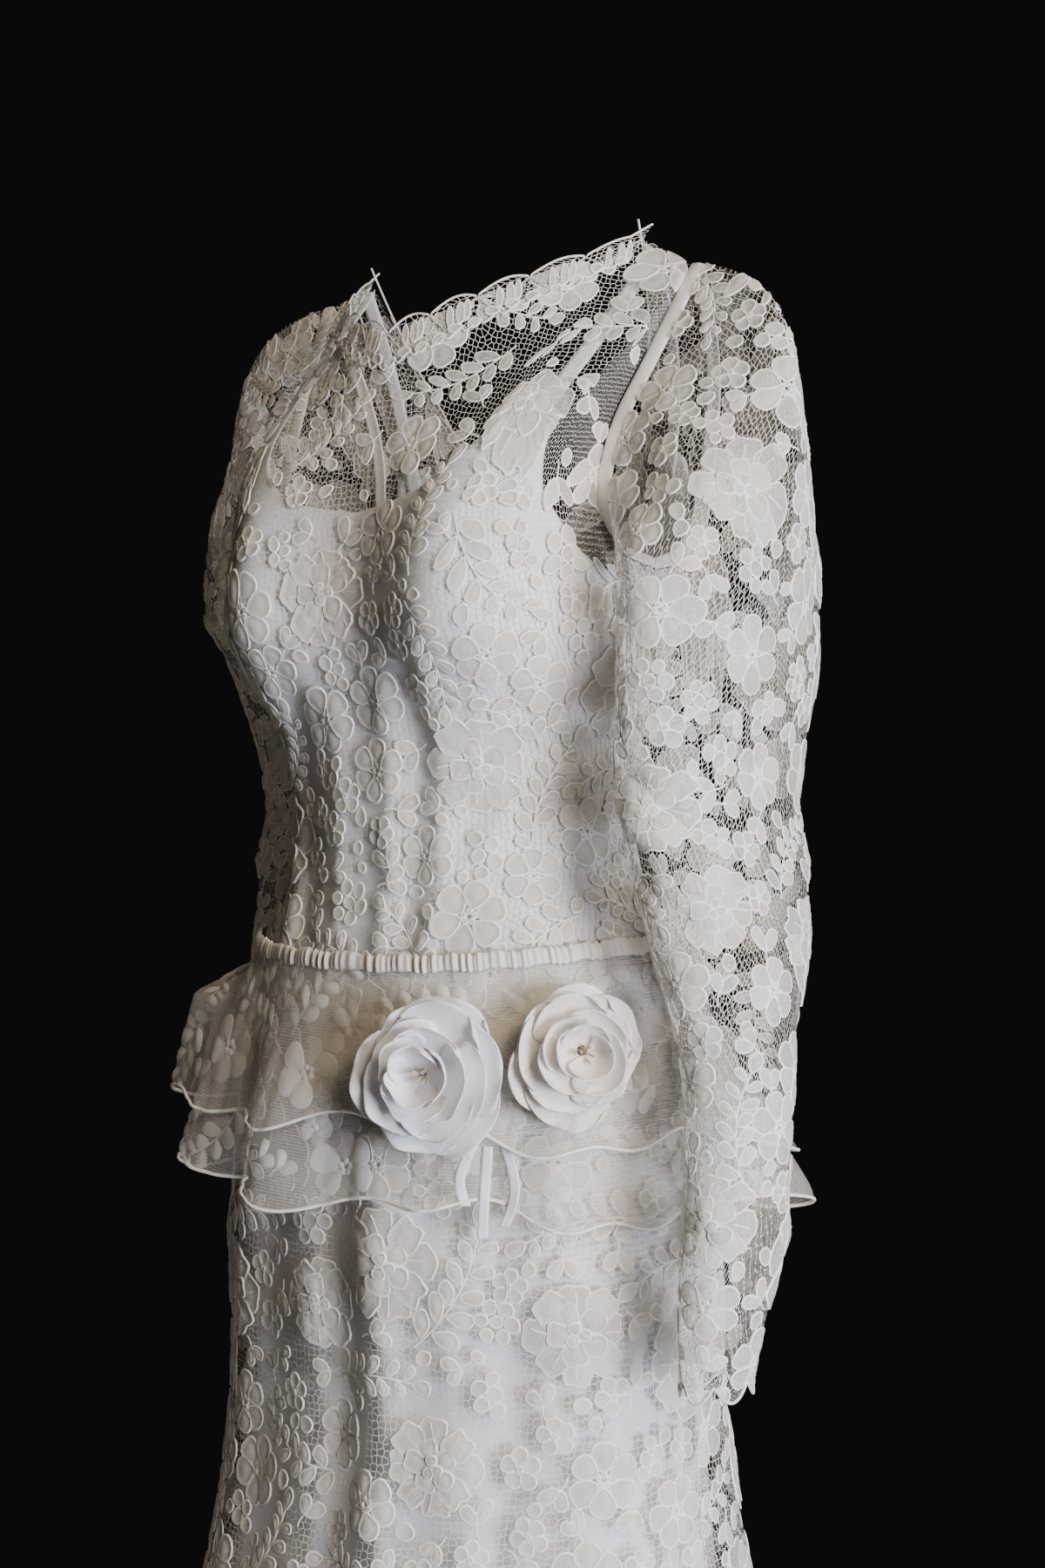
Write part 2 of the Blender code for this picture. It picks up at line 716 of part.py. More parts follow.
def make_peplum(net, ruche):
    for name, hems, out in (
        ("peplum_lower", LOWER_HEM, FLOUNCE_TOP_OUT),
        ("peplum_upper", UPPER_HEM, FLOUNCE_TOP_OUT + UPPER_OUT),
    ):
        is_lower = name == "peplum_lower"
        rows = []
        for share in FLOUNCE_ROWS:
            line = []
            for step in range(FLOUNCE_COLUMNS):
                angle = 2 * math.pi * step / FLOUNCE_COLUMNS
                drop = flounce_drop(angle, hems, share, is_lower)
                spread = 0.0 if is_lower else UPPER_SPREAD * share
                line.append(flounce_point(angle, drop, out + spread + LACE_WALL, is_lower))
            rows.append(line)
        outward = normals(rows, closed=True)
        if outward[0][0].x < 0:
            outward = [[-n for n in line] for line in outward]
        wall(name, rows, moved(rows, outward, -LACE_WALL), net, closed=True)
    rows = []
    count = RUCHE_WAVES * 2
    for row in range(2):
        line = []
        for step in range(count):
            angle = 2 * math.pi * step / count
            z = seam_z(angle) + RUCHE_HEIGHT * (0.7 - row)
            wave = RUCHE_WAVE * (1 if step % 2 else -1) * (1.0 if row == 0 else 0.5)
            line.append(body(angle, z) + body_normal(angle, z) * (RUCHE_OUT + wave))
        rows.append(line)
    inner = []
    for row, line in enumerate(rows):
        inner.append([
            p - body_normal(2 * math.pi * j / count, p.z) * LACE_WALL for j, p in enumerate(line)
        ])
    wall("waist_ruching", rows, inner, ruche, closed=True)


def angle_at(x, z):
    """Angle on the front at a given x."""
    low, high = 0.02, math.pi / 2
    for step in range(40):
        middle = (low + high) / 2
        if body(middle, z).x > x:
            low = middle
        else:
            high = middle
    return (low + high) / 2


def petal_ring(name, centre, axes, radius, sizes, lobes, turn, shader):
    """Cup of petals with a lobed rim: sizes are inner radius, lift, rim height, curl."""
    side, up, facing = axes
    start, lift, rim, curl = sizes
    rows = []
    for row in range(3):
        share = row / 2
        line = []
        for step in range(ROSE_SIDES):
            around = 2 * math.pi * step / ROSE_SIDES
            lobe = 0.84 + 0.16 * abs(math.cos(lobes * around / 2 + turn))
            reach = start + (radius * lobe - start) * math.sin(share * math.pi / 2) ** 0.9
            height = lift + rim * share ** 1.6 - curl * share ** 6
            offset = side * (reach * math.cos(around)) + up * (reach * math.sin(around))
            line.append(centre + offset + facing * height)
        rows.append(line)
    outward = normals(rows, closed=True)
    if outward[0][0].dot(facing) < 0:
        outward = [[-n for n in line] for line in outward]
    wall(name, rows, moved(rows, outward, -PETAL_WALL), shader, closed=True)


def make_rose(name, place, shader, turn, lift_off):
    x, z, radius = place
    angle = angle_at(x, z)
    drop = seam_z(angle) - z
    facing = body_normal(angle, z)
    side = Vector((0, 0, 1)).cross(facing).normalized()
    up = Vector((0, 0, 1))
    spot = flounce_point(angle, drop, 0)
    centre = spot + facing * lift_off
    axes = (side, up, facing)
    petal_ring(name + "_outer", centre, axes, radius, (0.004, 0.0, 0.014, 0.004), 5, turn, shader)
    petal_ring(name + "_middle", centre, axes, radius * 0.80, (0.004, 0.0014, 0.020, 0.002), 5, turn + 0.6, shader)
    petal_ring(name + "_inner", centre, axes, radius * 0.55, (0.004, 0.0028, 0.022, 0.0), 5, turn + 1.1, shader)
    data = bmesh.new()
    bmesh.ops.create_uvsphere(data, u_segments=8, v_segments=6, radius=radius * 0.24)
    bud = centre + facing * (0.0025 + radius * 0.24)
    bmesh.ops.translate(data, verts=data.verts, vec=bud)
    finish(name + "_bud", data, shader)


def make_ribbons(satin):
    for number, (x, sway, high, low) in enumerate(RIBBONS, 1):
        rows = []
        for step in range(9):
            share = step / 8
            z = high + (low - high) * share
            place = x + sway * math.sin(share * math.pi * 0.9)
            line = []
            for edge in (-0.5, 0.5):
                angle = angle_at(place + edge * RIBBON_WIDTH, z)
                drop = seam_z(angle) - z
                line.append(flounce_point(angle, drop, RIBBON_OUT))
            rows.append(line)
        outward = normals(rows)
        if outward[0][0].y > 0:
            outward = [[-n for n in line] for line in outward]
        wall(f"ribbon_{number}", rows, moved(rows, outward, -RIBBON_WALL), satin)


def make_buttons(grids, shader):
    """Covered buttons on the left edge of the centre back."""
    rows, outward = grids[False]
    for number in range(BUTTONS):
        z = BUTTON_TOP_Z - BUTTON_STEP * number
        level = min(range(len(rows)), key=lambda i: abs(rows[i][HALF].z - z))
        above = [i for i in range(len(rows) - 1) if rows[i][HALF].z <= z <= rows[i + 1][HALF].z]
        low = above[0] if above else level
        share = (z - rows[low][HALF].z) / (rows[low + 1][HALF].z - rows[low][HALF].z)
        column = HALF - 0.28
        place = between(rows, low + share, column)
        facing = between(outward, low + share, column).normalized()
        data = bmesh.new()
        bmesh.ops.create_uvsphere(data, u_segments=8, v_segments=4, radius=1.0)
        bmesh.ops.scale(data, verts=data.verts, vec=(BUTTON_RADIUS, BUTTON_RADIUS, BUTTON_HEIGHT / 2))
        turn = facing.to_track_quat("Z", "Y").to_matrix()
        bmesh.ops.rotate(data, verts=data.verts, matrix=turn, cent=(0, 0, 0))
        spot = place + facing * (LAID_GAP + BUTTON_HEIGHT / 2)
        bmesh.ops.translate(data, verts=data.verts, vec=spot)
        finish(f"button_{number + 1}", data, shader)


def main():
    for old in list(bpy.data.objects):
        bpy.data.objects.remove(old, do_unlink=True)
    lace = material("lace", (0.80, 0.78, 0.73), 0.8)
    satin = material("satin_lining", (0.86, 0.86, 0.86), 0.45)
    net = material("flounce_net", (0.78, 0.76, 0.72), 0.8)
    white = material("silk_white", (0.90, 0.90, 0.92), 0.6)
    cream = material("silk_cream", (0.82, 0.76, 0.68), 0.6)
    ribbon = material("ribbon", (0.85, 0.82, 0.80), 0.4)
    button = material("button", (0.84, 0.82, 0.78), 0.5)
    grids = bodice_grids()
    make_bodice(grids, lace, satin)
    make_straps(grids, satin)
    make_border(grids, lace)
    make_sleeves(grids, lace)
    make_skirt(lace, satin)
    make_peplum(net, net)
    make_rose("rose_white", ROSE_WHITE, white, 0.3, ROSE_LIFT["white"])
    make_rose("rose_cream", ROSE_CREAM, cream, 1.0, ROSE_LIFT["cream"])
    make_ribbons(ribbon)
    make_buttons(grids, button)


main()
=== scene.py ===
"""Looks of a long-sleeved lace wedding dress: net, corded flowers, satin lining, flounces and roses.

Metres, +Z up, front towards -Y, the wearer's left towards +X, origin midway between the neck points.
"""

import math
import random

import bpy
import numpy as np
from mathutils import Matrix, Vector


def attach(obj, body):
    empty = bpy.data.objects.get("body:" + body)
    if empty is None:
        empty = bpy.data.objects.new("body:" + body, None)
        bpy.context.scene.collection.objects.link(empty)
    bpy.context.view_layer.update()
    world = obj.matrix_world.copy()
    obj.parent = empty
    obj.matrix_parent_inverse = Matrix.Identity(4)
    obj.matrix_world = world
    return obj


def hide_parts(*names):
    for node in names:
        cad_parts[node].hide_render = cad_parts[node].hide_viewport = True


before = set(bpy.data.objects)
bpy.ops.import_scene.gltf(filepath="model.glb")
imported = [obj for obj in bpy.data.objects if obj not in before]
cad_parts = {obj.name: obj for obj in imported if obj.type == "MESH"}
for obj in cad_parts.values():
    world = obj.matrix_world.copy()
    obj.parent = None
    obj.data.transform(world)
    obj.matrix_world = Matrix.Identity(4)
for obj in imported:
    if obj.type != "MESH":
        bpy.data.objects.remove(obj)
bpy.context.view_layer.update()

bl_info = {
    "name": "Lace wedding dress",
    "version": (1, 0, 0),
    "blender": (4, 2, 0),
    "location": "3D View > Sidebar > Dress",
    "description": "Builds the cloth, lace, flowers and stage of a long-sleeved lace dress",
    "category": "Object",
}

# Form of the worn dress, the same tables as its solids
SEAM_GAP = 0.0004
LACE_WALL = 0.0010
LINING_DEPTH = 0.0018
STRAP_DEPTH = 0.0037
LAID_GAP = 0.0009
BUST_Z = -0.235
SEAM_FRONT_Z = -0.455
SEAM_SIDE_RISE = 0.011
HEM_Z = -1.42
COLUMNS = 24
HALF = COLUMNS // 2
NECK_COLUMN = 5
TIP_COLUMN = 6
BODY_ROWS = 5
LINING_ROWS = 2
YOKE_ROWS = 4
TOP_LEVEL = BODY_ROWS + LINING_ROWS + YOKE_ROWS
ROUNDNESS = 2.3
BODY = (
    (-0.150, 0.136, 0.112, 0.090),
    (-0.205, 0.139, 0.117, 0.092),
    (-0.235, 0.141, 0.119, 0.090),
    (-0.265, 0.138, 0.117, 0.085),
    (-0.300, 0.127, 0.110, 0.074),
    (-0.335, 0.119, 0.107, 0.062),
    (-0.365, 0.116, 0.108, 0.057),
    (-0.400, 0.121, 0.108, 0.060),
    (-0.452, 0.146, 0.117, 0.078),
    (-0.520, 0.160, 0.125, 0.096),
    (-0.610, 0.170, 0.130, 0.106),
    (-0.737, 0.171, 0.127, 0.120),
    (-0.840, 0.181, 0.143, 0.147),
    (-1.000, 0.215, 0.180, 0.190),
    (-1.200, 0.295, 0.250, 0.285),
    (-1.420, 0.400, 0.340, 0.420),
)
BUST_X = 0.091
BUST_OUT = 0.038
BUST_SPREAD_X = 0.040
BUST_SPREAD_Z = 0.045
NECK_FRONT = ((0.0, -0.085, -0.065), (0.070, -0.075, -0.045), (0.114, 0.028, 0.0))
NECK_BACK = ((0.0, 0.093, -0.165), (0.085, 0.098, -0.150), (0.114, 0.028, 0.0))
SHOULDER_TIP = (0.150, 0.026, -0.022)
SHOULDER_LIFT = 0.014
ARMHOLE_FRONT = (
    (0.50, 0.1500, 0.026, -0.022),
    (0.60, 0.1400, -0.010, -0.083),
    (0.70, 0.1315, -0.034, -0.128),
    (0.80, 0.1300, -0.046, -0.170),
    (0.90, 0.1340, -0.034, -0.197),
    (1.00, 0.1400, 0.000, -0.207),
)
ARMHOLE_BACK = (
    (0.50, 0.1500, 0.026, -0.022),
    (0.60, 0.1430, 0.053, -0.070),
    (0.70, 0.1360, 0.063, -0.115),
    (0.80, 0.1325, 0.058, -0.160),
    (0.90, 0.1350, 0.036, -0.194),
    (1.00, 0.1400, 0.000, -0.207),
)
LEAN_FRONT = (
    (0.0, 0.25), (0.2, 0.40), (0.4, 0.63), (0.5, 0.62), (0.6, 0.75), (0.8, 0.80), (0.9, 0.6), (1.0, 0.0),
)
LEAN_BACK = (
    (0.0, -0.3), (0.2, -0.4), (0.4, -0.6), (0.5, -0.62), (0.6, -0.75), (0.8, -0.8), (0.9, -0.6), (1.0, 0.0),
)
LINING_TOP = (
    (0.0, 0.33), (0.2, 0.33), (0.35, 0.40), (0.42, 0.46), (0.5, 0.44), (0.6, 0.36), (0.8, 0.40), (1.0, 0.55),
)
LIFT_SHARE = ((0.0, 0.0), (0.42, 0.002), (0.5, SHOULDER_LIFT), (0.6, 0.008), (0.8, 0.0), (1.0, 0.0))
SLEEVE_LEFT = (
    (-0.233, 0.1940, -0.006, 0.046, 0.086),
    (-0.290, 0.1905, -0.005, 0.043, 0.084),
    (-0.345, 0.1870, -0.006, 0.0400, 0.080),
    (-0.422, 0.2035, -0.015, 0.038, 0.067),
    (-0.511, 0.2240, -0.034, 0.029, 0.039),
    (-0.594, 0.2310, -0.049, 0.026, 0.036),
    (-0.640, 0.2280, -0.055, 0.023, 0.031),
    (-0.679, 0.2240, -0.057, 0.018, 0.026),
)
SLEEVE_RIGHT = (
    (-0.233, 0.1870, 0.024, 0.041, 0.081),
    (-0.290, 0.1830, 0.052, 0.0385, 0.073),
    (-0.345, 0.1830, 0.066, 0.0370, 0.068),
    (-0.422, 0.1940, 0.062, 0.035, 0.058),
    (-0.511, 0.2140, 0.050, 0.028, 0.038),
    (-0.594, 0.2220, 0.046, 0.026, 0.036),
    (-0.640, 0.2210, 0.042, 0.023, 0.031),
    (-0.679, 0.2180, 0.038, 0.018, 0.026),
)
CAP_OUT = {1: (1.45, 1.15, -0.15), -1: (1.90, 1.60, -0.03)}
SLEEVE_START = {1: 0.0013, -1: 0.0005}
SLEEVE_SIDES = 24
CUFF_SCALLOPS = 6
CUFF_SCALLOP = 0.010
BORDER_DEPTH = 0.027
BORDER_SCALLOPS = 10
BORDER_SCALLOP = 0.006
BORDER_TIP = 0.012
BINDING_WIDTH = 0.011
STRAP_WIDTH = 0.011
STRAP_FOOT = 0.52
STRAP_TOP = 0.17
FLUTES = 11
FLOUNCE_TOP_OUT = 0.0005
UPPER_OUT = 0.0016
UPPER_SPREAD = 0.0040
TALL_FLUTES = ((150.0, 0.034, 0.017, 0.037, 0.62), (325.0, 0.036, 0.055, 0.155, 1.0))
FLUTE_WIDTH = 10.0
UPPER_HEM = (-0.548, -0.576)
LOWER_HEM = (-0.594, -0.613)
HEM_SWAY = ((5, 1.3, 0.0060), (13, 0.4, 0.0040))  # waves round, phase, height
RUCHE_OUT = 0.0064
SKIRT_FOLDS = 9
FOLD_DEPTH = 0.016
FOLD_START_Z = -0.80
LINING_LIFT = 0.015
LINING_SLACK = 0.050  # how far further inside the lining hangs at the hem, twice that behind
BODICE_FINE = 54  # rows of the cloth's own grid up to the bust
LINING_FINE = 18  # from there to the lining's top
YOKE_FINE = 40  # and from there to the neckline
LINING_COUNT = BODICE_FINE + LINING_FINE + 1
BORDER_FINE = 241  # points along the neck border
BORDER_LEAVES = 26
FLOUNCE_FINE = 462  # points round a flounce
HEADING_FINE = 1200  # and round its gathered heading
CREASE_X = 0.028
CREASE_OUT = 0.004
ROSE_WHITE = (0.0730, -0.515, 0.045)
ROSE_CREAM = (0.1310, -0.502, 0.038)
ROSE_LIFT = {"white": 0.0108, "cream": 0.0101}
RIBBON_WIDTH = 0.005
RIBBON_OUT = 0.0036
RIBBONS = (
    (0.100, 0.000, -0.556, -0.609),
    (0.108, 0.006, -0.556, -0.602),
    (0.093, -0.005, -0.556, -0.590),
)
BUTTON_RADIUS = 0.0055
BUTTON_HEIGHT = 0.004
BUTTONS = 6
BUTTON_TOP_Z = -0.205
BUTTON_STEP = 0.043

# Creases, listed one by one: x and z of both ends, width, height out of the cloth (negative is a trough)
FRONT_CREASES = (
    (0.020, -0.290, 0.018, -0.440, 0.008, 0.0022),
    (0.041, -0.275, 0.036, -0.445, 0.009, -0.0020),
    (0.060, -0.270, 0.052, -0.445, 0.008, 0.0024),
    (-0.022, -0.300, -0.020, -0.440, 0.009, 0.0018),
    (-0.056, -0.275, -0.050, -0.445, 0.010, -0.0022),
    (-0.078, -0.290, -0.066, -0.440, 0.008, 0.0020),
    (0.100, -0.300, 0.070, -0.375, 0.009, -0.0018),
    (0.112, -0.335, 0.060, -0.400, 0.007, 0.0015),
    (-0.108, -0.310, -0.064, -0.385, 0.008, -0.0018),
    (0.006, -0.185, 0.000, -0.280, 0.024, -0.0010),
    (0.118, -0.150, 0.092, -0.205, 0.010, -0.0016),
    (-0.118, -0.150, -0.095, -0.200, 0.010, -0.0016),
)
BACK_CREASES = (
    (0.045, -0.250, 0.038, -0.440, 0.010, 0.0020),
    (-0.043, -0.260, -0.040, -0.440, 0.010, 0.0022),
    (0.018, -0.340, 0.020, -0.440, 0.008, -0.0016),
    (-0.020, -0.350, -0.016, -0.440, 0.008, -0.0014),
    (0.090, -0.300, 0.050, -0.380, 0.009, -0.0020),
    (-0.094, -0.290, -0.055, -0.385, 0.010, -0.0020),
    (0.070, -0.340, 0.012, -0.405, 0.007, 0.0014),
    (-0.080, -0.345, -0.014, -0.400, 0.007, 0.0014),
)
SKIRT_CREASES = (
    (0.034, -0.560, 0.024, -1.250, 0.026, 0.0060),
    (0.000, -0.600, -0.010, -1.100, 0.022, -0.0050),
    (0.072, -0.620, 0.085, -0.980, 0.016, 0.0030),
    (0.105, -0.600, 0.120, -0.900, 0.012, -0.0028),
    (-0.060, -0.480, -0.085, -0.900, 0.016, -0.0030),
    (-0.095, -0.560, -0.120, -0.960, 0.014, 0.0030),
    (-0.020, -0.520, -0.030, -0.820, 0.012, 0.0020),
    (0.150, -0.640, 0.190, -1.050, 0.018, 0.0040),
    (-0.150, -0.640, -0.185, -1.020, 0.018, 0.0036),
)
BACK_SKIRT_CREASES = (
    (0.000, -0.620, 0.000, -1.000, 0.020, -0.0050),
    (0.050, -0.640, 0.070, -1.050, 0.016, 0.0040),
    (-0.055, -0.630, -0.075, -1.080, 0.017, 0.0040),
    (0.100, -0.600, 0.140, -1.000, 0.015, -0.0036),
    (-0.102, -0.610, -0.140, -1.020, 0.016, -0.0036),
)
# Sleeves: turn round the arm in radians (0 outside, 1.57 front) and z of both ends, width, height
SLEEVE_CREASES = (
    (1.10, -0.120, 0.50, -0.230, 0.012, 0.0030),
    (1.60, -0.150, 1.00, -0.270, 0.010, -0.0030),
    (5.30, -0.120, 5.70, -0.240, 0.012, -0.0030),
    (4.70, -0.160, 5.10, -0.280, 0.010, 0.0028),
    (0.30, -0.200, 0.10, -0.330, 0.014, -0.0024),
    (1.90, -0.330, 0.90, -0.372, 0.007, -0.0036),
    (2.10, -0.352, 1.00, -0.402, 0.006, 0.0030),
    (2.20, -0.385, 1.10, -0.430, 0.007, -0.0032),
    (5.60, -0.350, 4.60, -0.390, 0.008, -0.0026),
    (5.40, -0.392, 4.40, -0.430, 0.007, 0.0024),
    (1.60, -0.470, 0.60, -0.520, 0.007, 0.0018),
    (5.80, -0.480, 5.00, -0.540, 0.007, -0.0018),
    (1.80, -0.590, 0.80, -0.612, 0.006, -0.0014),
    (5.50, -0.600, 4.80, -0.630, 0.006, 0.0014),
)

# Motifs: name, cloth for each one in square metres, tries for each
PLAN_YOKE = (
    ("flower", 0.0120, 60),
    ("sprig", 0.0080, 80),
    ("small", 0.0110, 40),
    ("pair", 0.0050, 60),
    ("oval", 0.0050, 40),
)
PLAN_BODY = (
    ("bloom", 0.0210, 40),
    ("flower", 0.0120, 50),
    ("sprig", 0.0065, 80),
    ("small", 0.0060, 60),
    ("cluster", 0.0070, 50),
    ("pair", 0.0030, 60),
    ("oval", 0.0022, 40),
)
PLAN_SLEEVE = (
    ("bloom", 0.0220, 50),
    ("flower", 0.0110, 60),
    ("sprig", 0.0070, 80),
    ("small", 0.0080, 60),
    ("cluster", 0.0090, 60),
    ("pair", 0.0036, 70),
    ("oval", 0.0034, 50),
)
PLAN_SKIRT = (
    ("bloom", 0.0200, 25),
    ("flower", 0.0110, 30),
    ("sprig", 0.0065, 50),
    ("small", 0.0080, 30),
    ("cluster", 0.0090, 30),
    ("pair", 0.0040, 30),
    ("oval", 0.0035, 20),
)
PLAN_FLOUNCE = (
    ("flower", 0.0080, 30),
    ("sprig", 0.0090, 40),
    ("small", 0.0090, 30),
    ("pair", 0.0060, 30),
)
MOTIF_GAP = 1.10  # space kept between the motifs' discs

# Main flowers listed one by one on the pieces that show most: motif, a point close by, turn, size
PLACED = {
    "bodice_front": (
        ("flower", 0.040, -0.110, -0.140, 4.7, 0.95),
        ("sprig", -0.035, -0.105, -0.130, 4.1, 0.85),
        ("bloom", 0.105, -0.080, -0.120, 4.6, 0.85),
        ("pair", 0.125, -0.080, -0.170, 2.9, 1.3),
        ("flower", -0.060, -0.080, -0.090, 5.9, 0.8),
        ("small", -0.135, -0.055, -0.095, 4.5, 1.2),
        ("cluster", 0.130, -0.075, -0.210, 5.1, 1.1),
        ("sprig", 0.105, -0.125, -0.225, 2.3, 1.2),
        ("sprig", 0.070, -0.130, -0.265, 1.6, 1.0),
        ("bloom", -0.020, -0.125, -0.230, 4.7, 0.85),
        ("small", -0.075, -0.135, -0.195, 5.5, 1.1),
        ("flower", 0.010, -0.110, -0.335, 4.6, 0.9),
        ("bloom", 0.075, -0.090, -0.335, 4.6, 0.85),
        ("flower", 0.100, -0.070, -0.400, 4.6, 0.85),
        ("flower", 0.045, -0.100, -0.390, 4.7, 0.85),
        ("small", -0.025, -0.110, -0.375, 4.7, 1.0),
        ("flower", -0.065, -0.125, -0.275, 4.3, 0.9),
        ("flower", 0.115, -0.080, -0.285, 4.9, 0.85),
        ("cluster", -0.010, -0.110, -0.420, 4.9, 1.0),
        ("sprig", -0.070, -0.100, -0.330, 4.1, 0.8),
    ),
    "skirt_front": (
        ("sprig", 0.080, -0.120, -0.645, 4.1, 1.2),
        ("bloom", 0.145, -0.085, -0.665, 4.7, 0.9),
        ("flower", 0.035, -0.130, -0.570, 4.7, 1.05),
        ("flower", 0.130, -0.085, -0.565, 4.6, 1.0),
        ("bloom", 0.070, -0.125, -0.750, 4.7, 0.85),
        ("flower", 0.155, -0.070, -0.750, 4.6, 1.0),
        ("flower", 0.000, -0.125, -0.740, 4.8, 0.95),
        ("bloom", -0.020, -0.130, -0.665, 4.7, 0.85),
        ("small", -0.045, -0.125, -0.725, 4.8, 1.0),
        ("cluster", 0.100, -0.105, -0.705, 4.7, 1.0),
        ("small", 0.115, -0.100, -0.745, 4.7, 1.1),
    ),
    "sleeve_left": (
        ("flower", 0.165, -0.025, -0.110, 3.8, 0.95),
        ("small", 0.205, -0.010, -0.100, 3.8, 1.1),
        ("bloom", 0.230, -0.040, -0.175, 4.2, 0.95),
        ("flower", 0.185, -0.080, -0.200, 4.4, 0.85),
        ("flower", 0.230, -0.030, -0.270, 4.8, 1.05),
        ("small", 0.205, -0.080, -0.315, 4.7, 1.1),
        ("bloom", 0.195, -0.085, -0.360, 4.7, 0.75),
        ("flower", 0.225, -0.015, -0.340, 4.5, 0.95),
        ("sprig", 0.235, 0.005, -0.390, 3.8, 0.9),
        ("flower", 0.210, -0.075, -0.460, 4.6, 0.9),
        ("flower", 0.245, -0.035, -0.465, 4.5, 0.9),
        ("bloom", 0.225, -0.065, -0.415, 4.6, 0.7),
        ("flower", 0.215, -0.070, -0.515, 4.7, 0.85),
        ("sprig", 0.245, -0.065, -0.540, 4.5, 0.9),
        ("bloom", 0.235, -0.085, -0.590, 4.7, 0.75),
        ("flower", 0.235, -0.085, -0.635, 4.7, 0.85),
    ),
}

CAMERA_AT = (0.901, -1.104, -0.345)
CAMERA_TURN = (90.0, 0.0, 38.0)
FLOOR_Z = -1.4225


def unit(vectors):
    """Vectors of length one."""
    return vectors / np.maximum(np.linalg.norm(vectors, axis=-1, keepdims=True), 1e-12)


def curve(table, key, column=1):
    """Value of a table's column at a key, on a smooth curve through its rows."""
    rows = np.array(sorted(table), float)
    keys, values = rows[:, 0], rows[:, column]
    count = len(keys)
    low, high = np.maximum(np.arange(count) - 1, 0), np.minimum(np.arange(count) + 1, count - 1)
    slopes = (values[high] - values[low]) / (keys[high] - keys[low])
    key = np.clip(key, keys[0], keys[-1])
    at = np.clip(np.searchsorted(keys, key, side="right") - 1, 0, count - 2)
    span = keys[at + 1] - keys[at]
    share = (key - keys[at]) / span
    s2, s3 = share ** 2, share ** 3
    return (
        values[at] * (2 * s3 - 3 * s2 + 1)
        + slopes[at] * span * (s3 - 2 * s2 + share)
        + values[at + 1] * (3 * s2 - 2 * s3)
        + slopes[at + 1] * span * (s3 - s2)
    )


def straight(table, key):
    """Value of a table at a key, straight between its rows."""
    rows = np.array(sorted(table), float)
    return np.interp(key, rows[:, 0], rows[:, 1])


def power(value, exponent):
    """Power that keeps the value's sign."""
    return np.sign(value) * np.abs(value) ** exponent


def seam_z(angle):
    """Height of the waist seam, which rises a little at the sides."""
    return SEAM_FRONT_Z + SEAM_SIDE_RISE * np.cos(angle) ** 2


def body(angle, z):
    """Outer face of the lace. The angle runs from +X through the front."""
    angle, z = np.broadcast_arrays(np.asarray(angle, float), np.asarray(z, float))
    sine, cosine = np.sin(angle), np.cos(angle)
    x = curve(BODY, z, 1) * power(cosine, 2 / ROUNDNESS)
    deep = np.where(sine >= 0, curve(BODY, z, 2), curve(BODY, z, 3))
    y = -deep * power(sine, 2 / ROUNDNESS)
    out = 0.0
    for apex in (-BUST_X, BUST_X):
        across, up = (x - apex) / BUST_SPREAD_X, (z - BUST_Z) / BUST_SPREAD_Z
        out = out + BUST_OUT * np.exp(-0.5 * (across * across + up * up))
    fade = np.clip((SEAM_FRONT_Z - z) / 0.12, 0, 1)
    out = out + CREASE_OUT * fade * np.exp(-0.5 * ((x - CREASE_X) / 0.013) ** 2)
    y = y - np.where(sine > 1e-9, out, 0.0)
    grow = np.clip((FOLD_START_Z - z) / (FOLD_START_Z - HEM_Z), 0, None) ** 1.2
    wave = np.cos(SKIRT_FOLDS * angle + 0.6) + 0.35 * np.cos(5 * angle + 2.0)
    push = 1 + FOLD_DEPTH * grow * wave / np.hypot(x, y)
    return np.stack([x * push, y * push, z], -1)


def hermite(low, start, high, end, share):
    """Point on a smooth curve between two ends with their slopes."""
    s2, s3 = share * share, share ** 3
    return (
        low * (2 * s3 - 3 * s2 + 1)
        + start * (s3 - 2 * s2 + share)
        + high * (3 * s2 - 2 * s3)
        + end * (s3 - s2)
    )


def upper_edge(column, is_front):
    """Neckline, shoulder and armhole at a column."""
    share = np.abs(column - HALF) / HALF
    neck, tip = NECK_COLUMN / HALF, TIP_COLUMN / HALF
    a, b, c = np.array(NECK_FRONT if is_front else NECK_BACK)
    s = np.clip(share / neck, 0, 1)[..., None]
    line = a * (1 - s) ** 2 + b * 2 * s * (1 - s) + c * s ** 2
    s = np.clip((share - neck) / (tip - neck), 0, 1)[..., None]
    shoulder = c * (1 - s) + np.array(SHOULDER_TIP) * s
    table = ARMHOLE_FRONT if is_front else ARMHOLE_BACK
    hole = np.stack([curve(table, share, k) for k in (1, 2, 3)], -1)
    top = np.where((share <= neck)[..., None], line, np.where((share <= tip)[..., None], shoulder, hole))
    right = column > HALF
    top[..., 0] = np.where(right, -top[..., 0], top[..., 0])
    top[..., 2] = top[..., 2] + np.where(right, straight(LIFT_SHARE, share), 0.0)
    return top


def yoke(column, rise, is_front):
    """Points above the bust line; rise runs from 0 there to 1 at the upper edge."""
    column, rise = np.broadcast_arrays(np.asarray(column, float), np.asarray(rise, float))
    turn = np.pi * column / COLUMNS
    low = body(turn if is_front else 2 * np.pi - turn, BUST_Z)
    top = upper_edge(column, is_front)
    reach = np.linalg.norm(top - low, axis=-1)[..., None]
    lean = straight(LEAN_FRONT if is_front else LEAN_BACK, np.abs(column - HALF) / HALF)
    end = np.stack([0 * lean, lean, np.sqrt(1 - lean * lean)], -1) * reach
    return hermite(low, np.array([0, 0, 1.0]) * reach, top, end, rise[..., None])


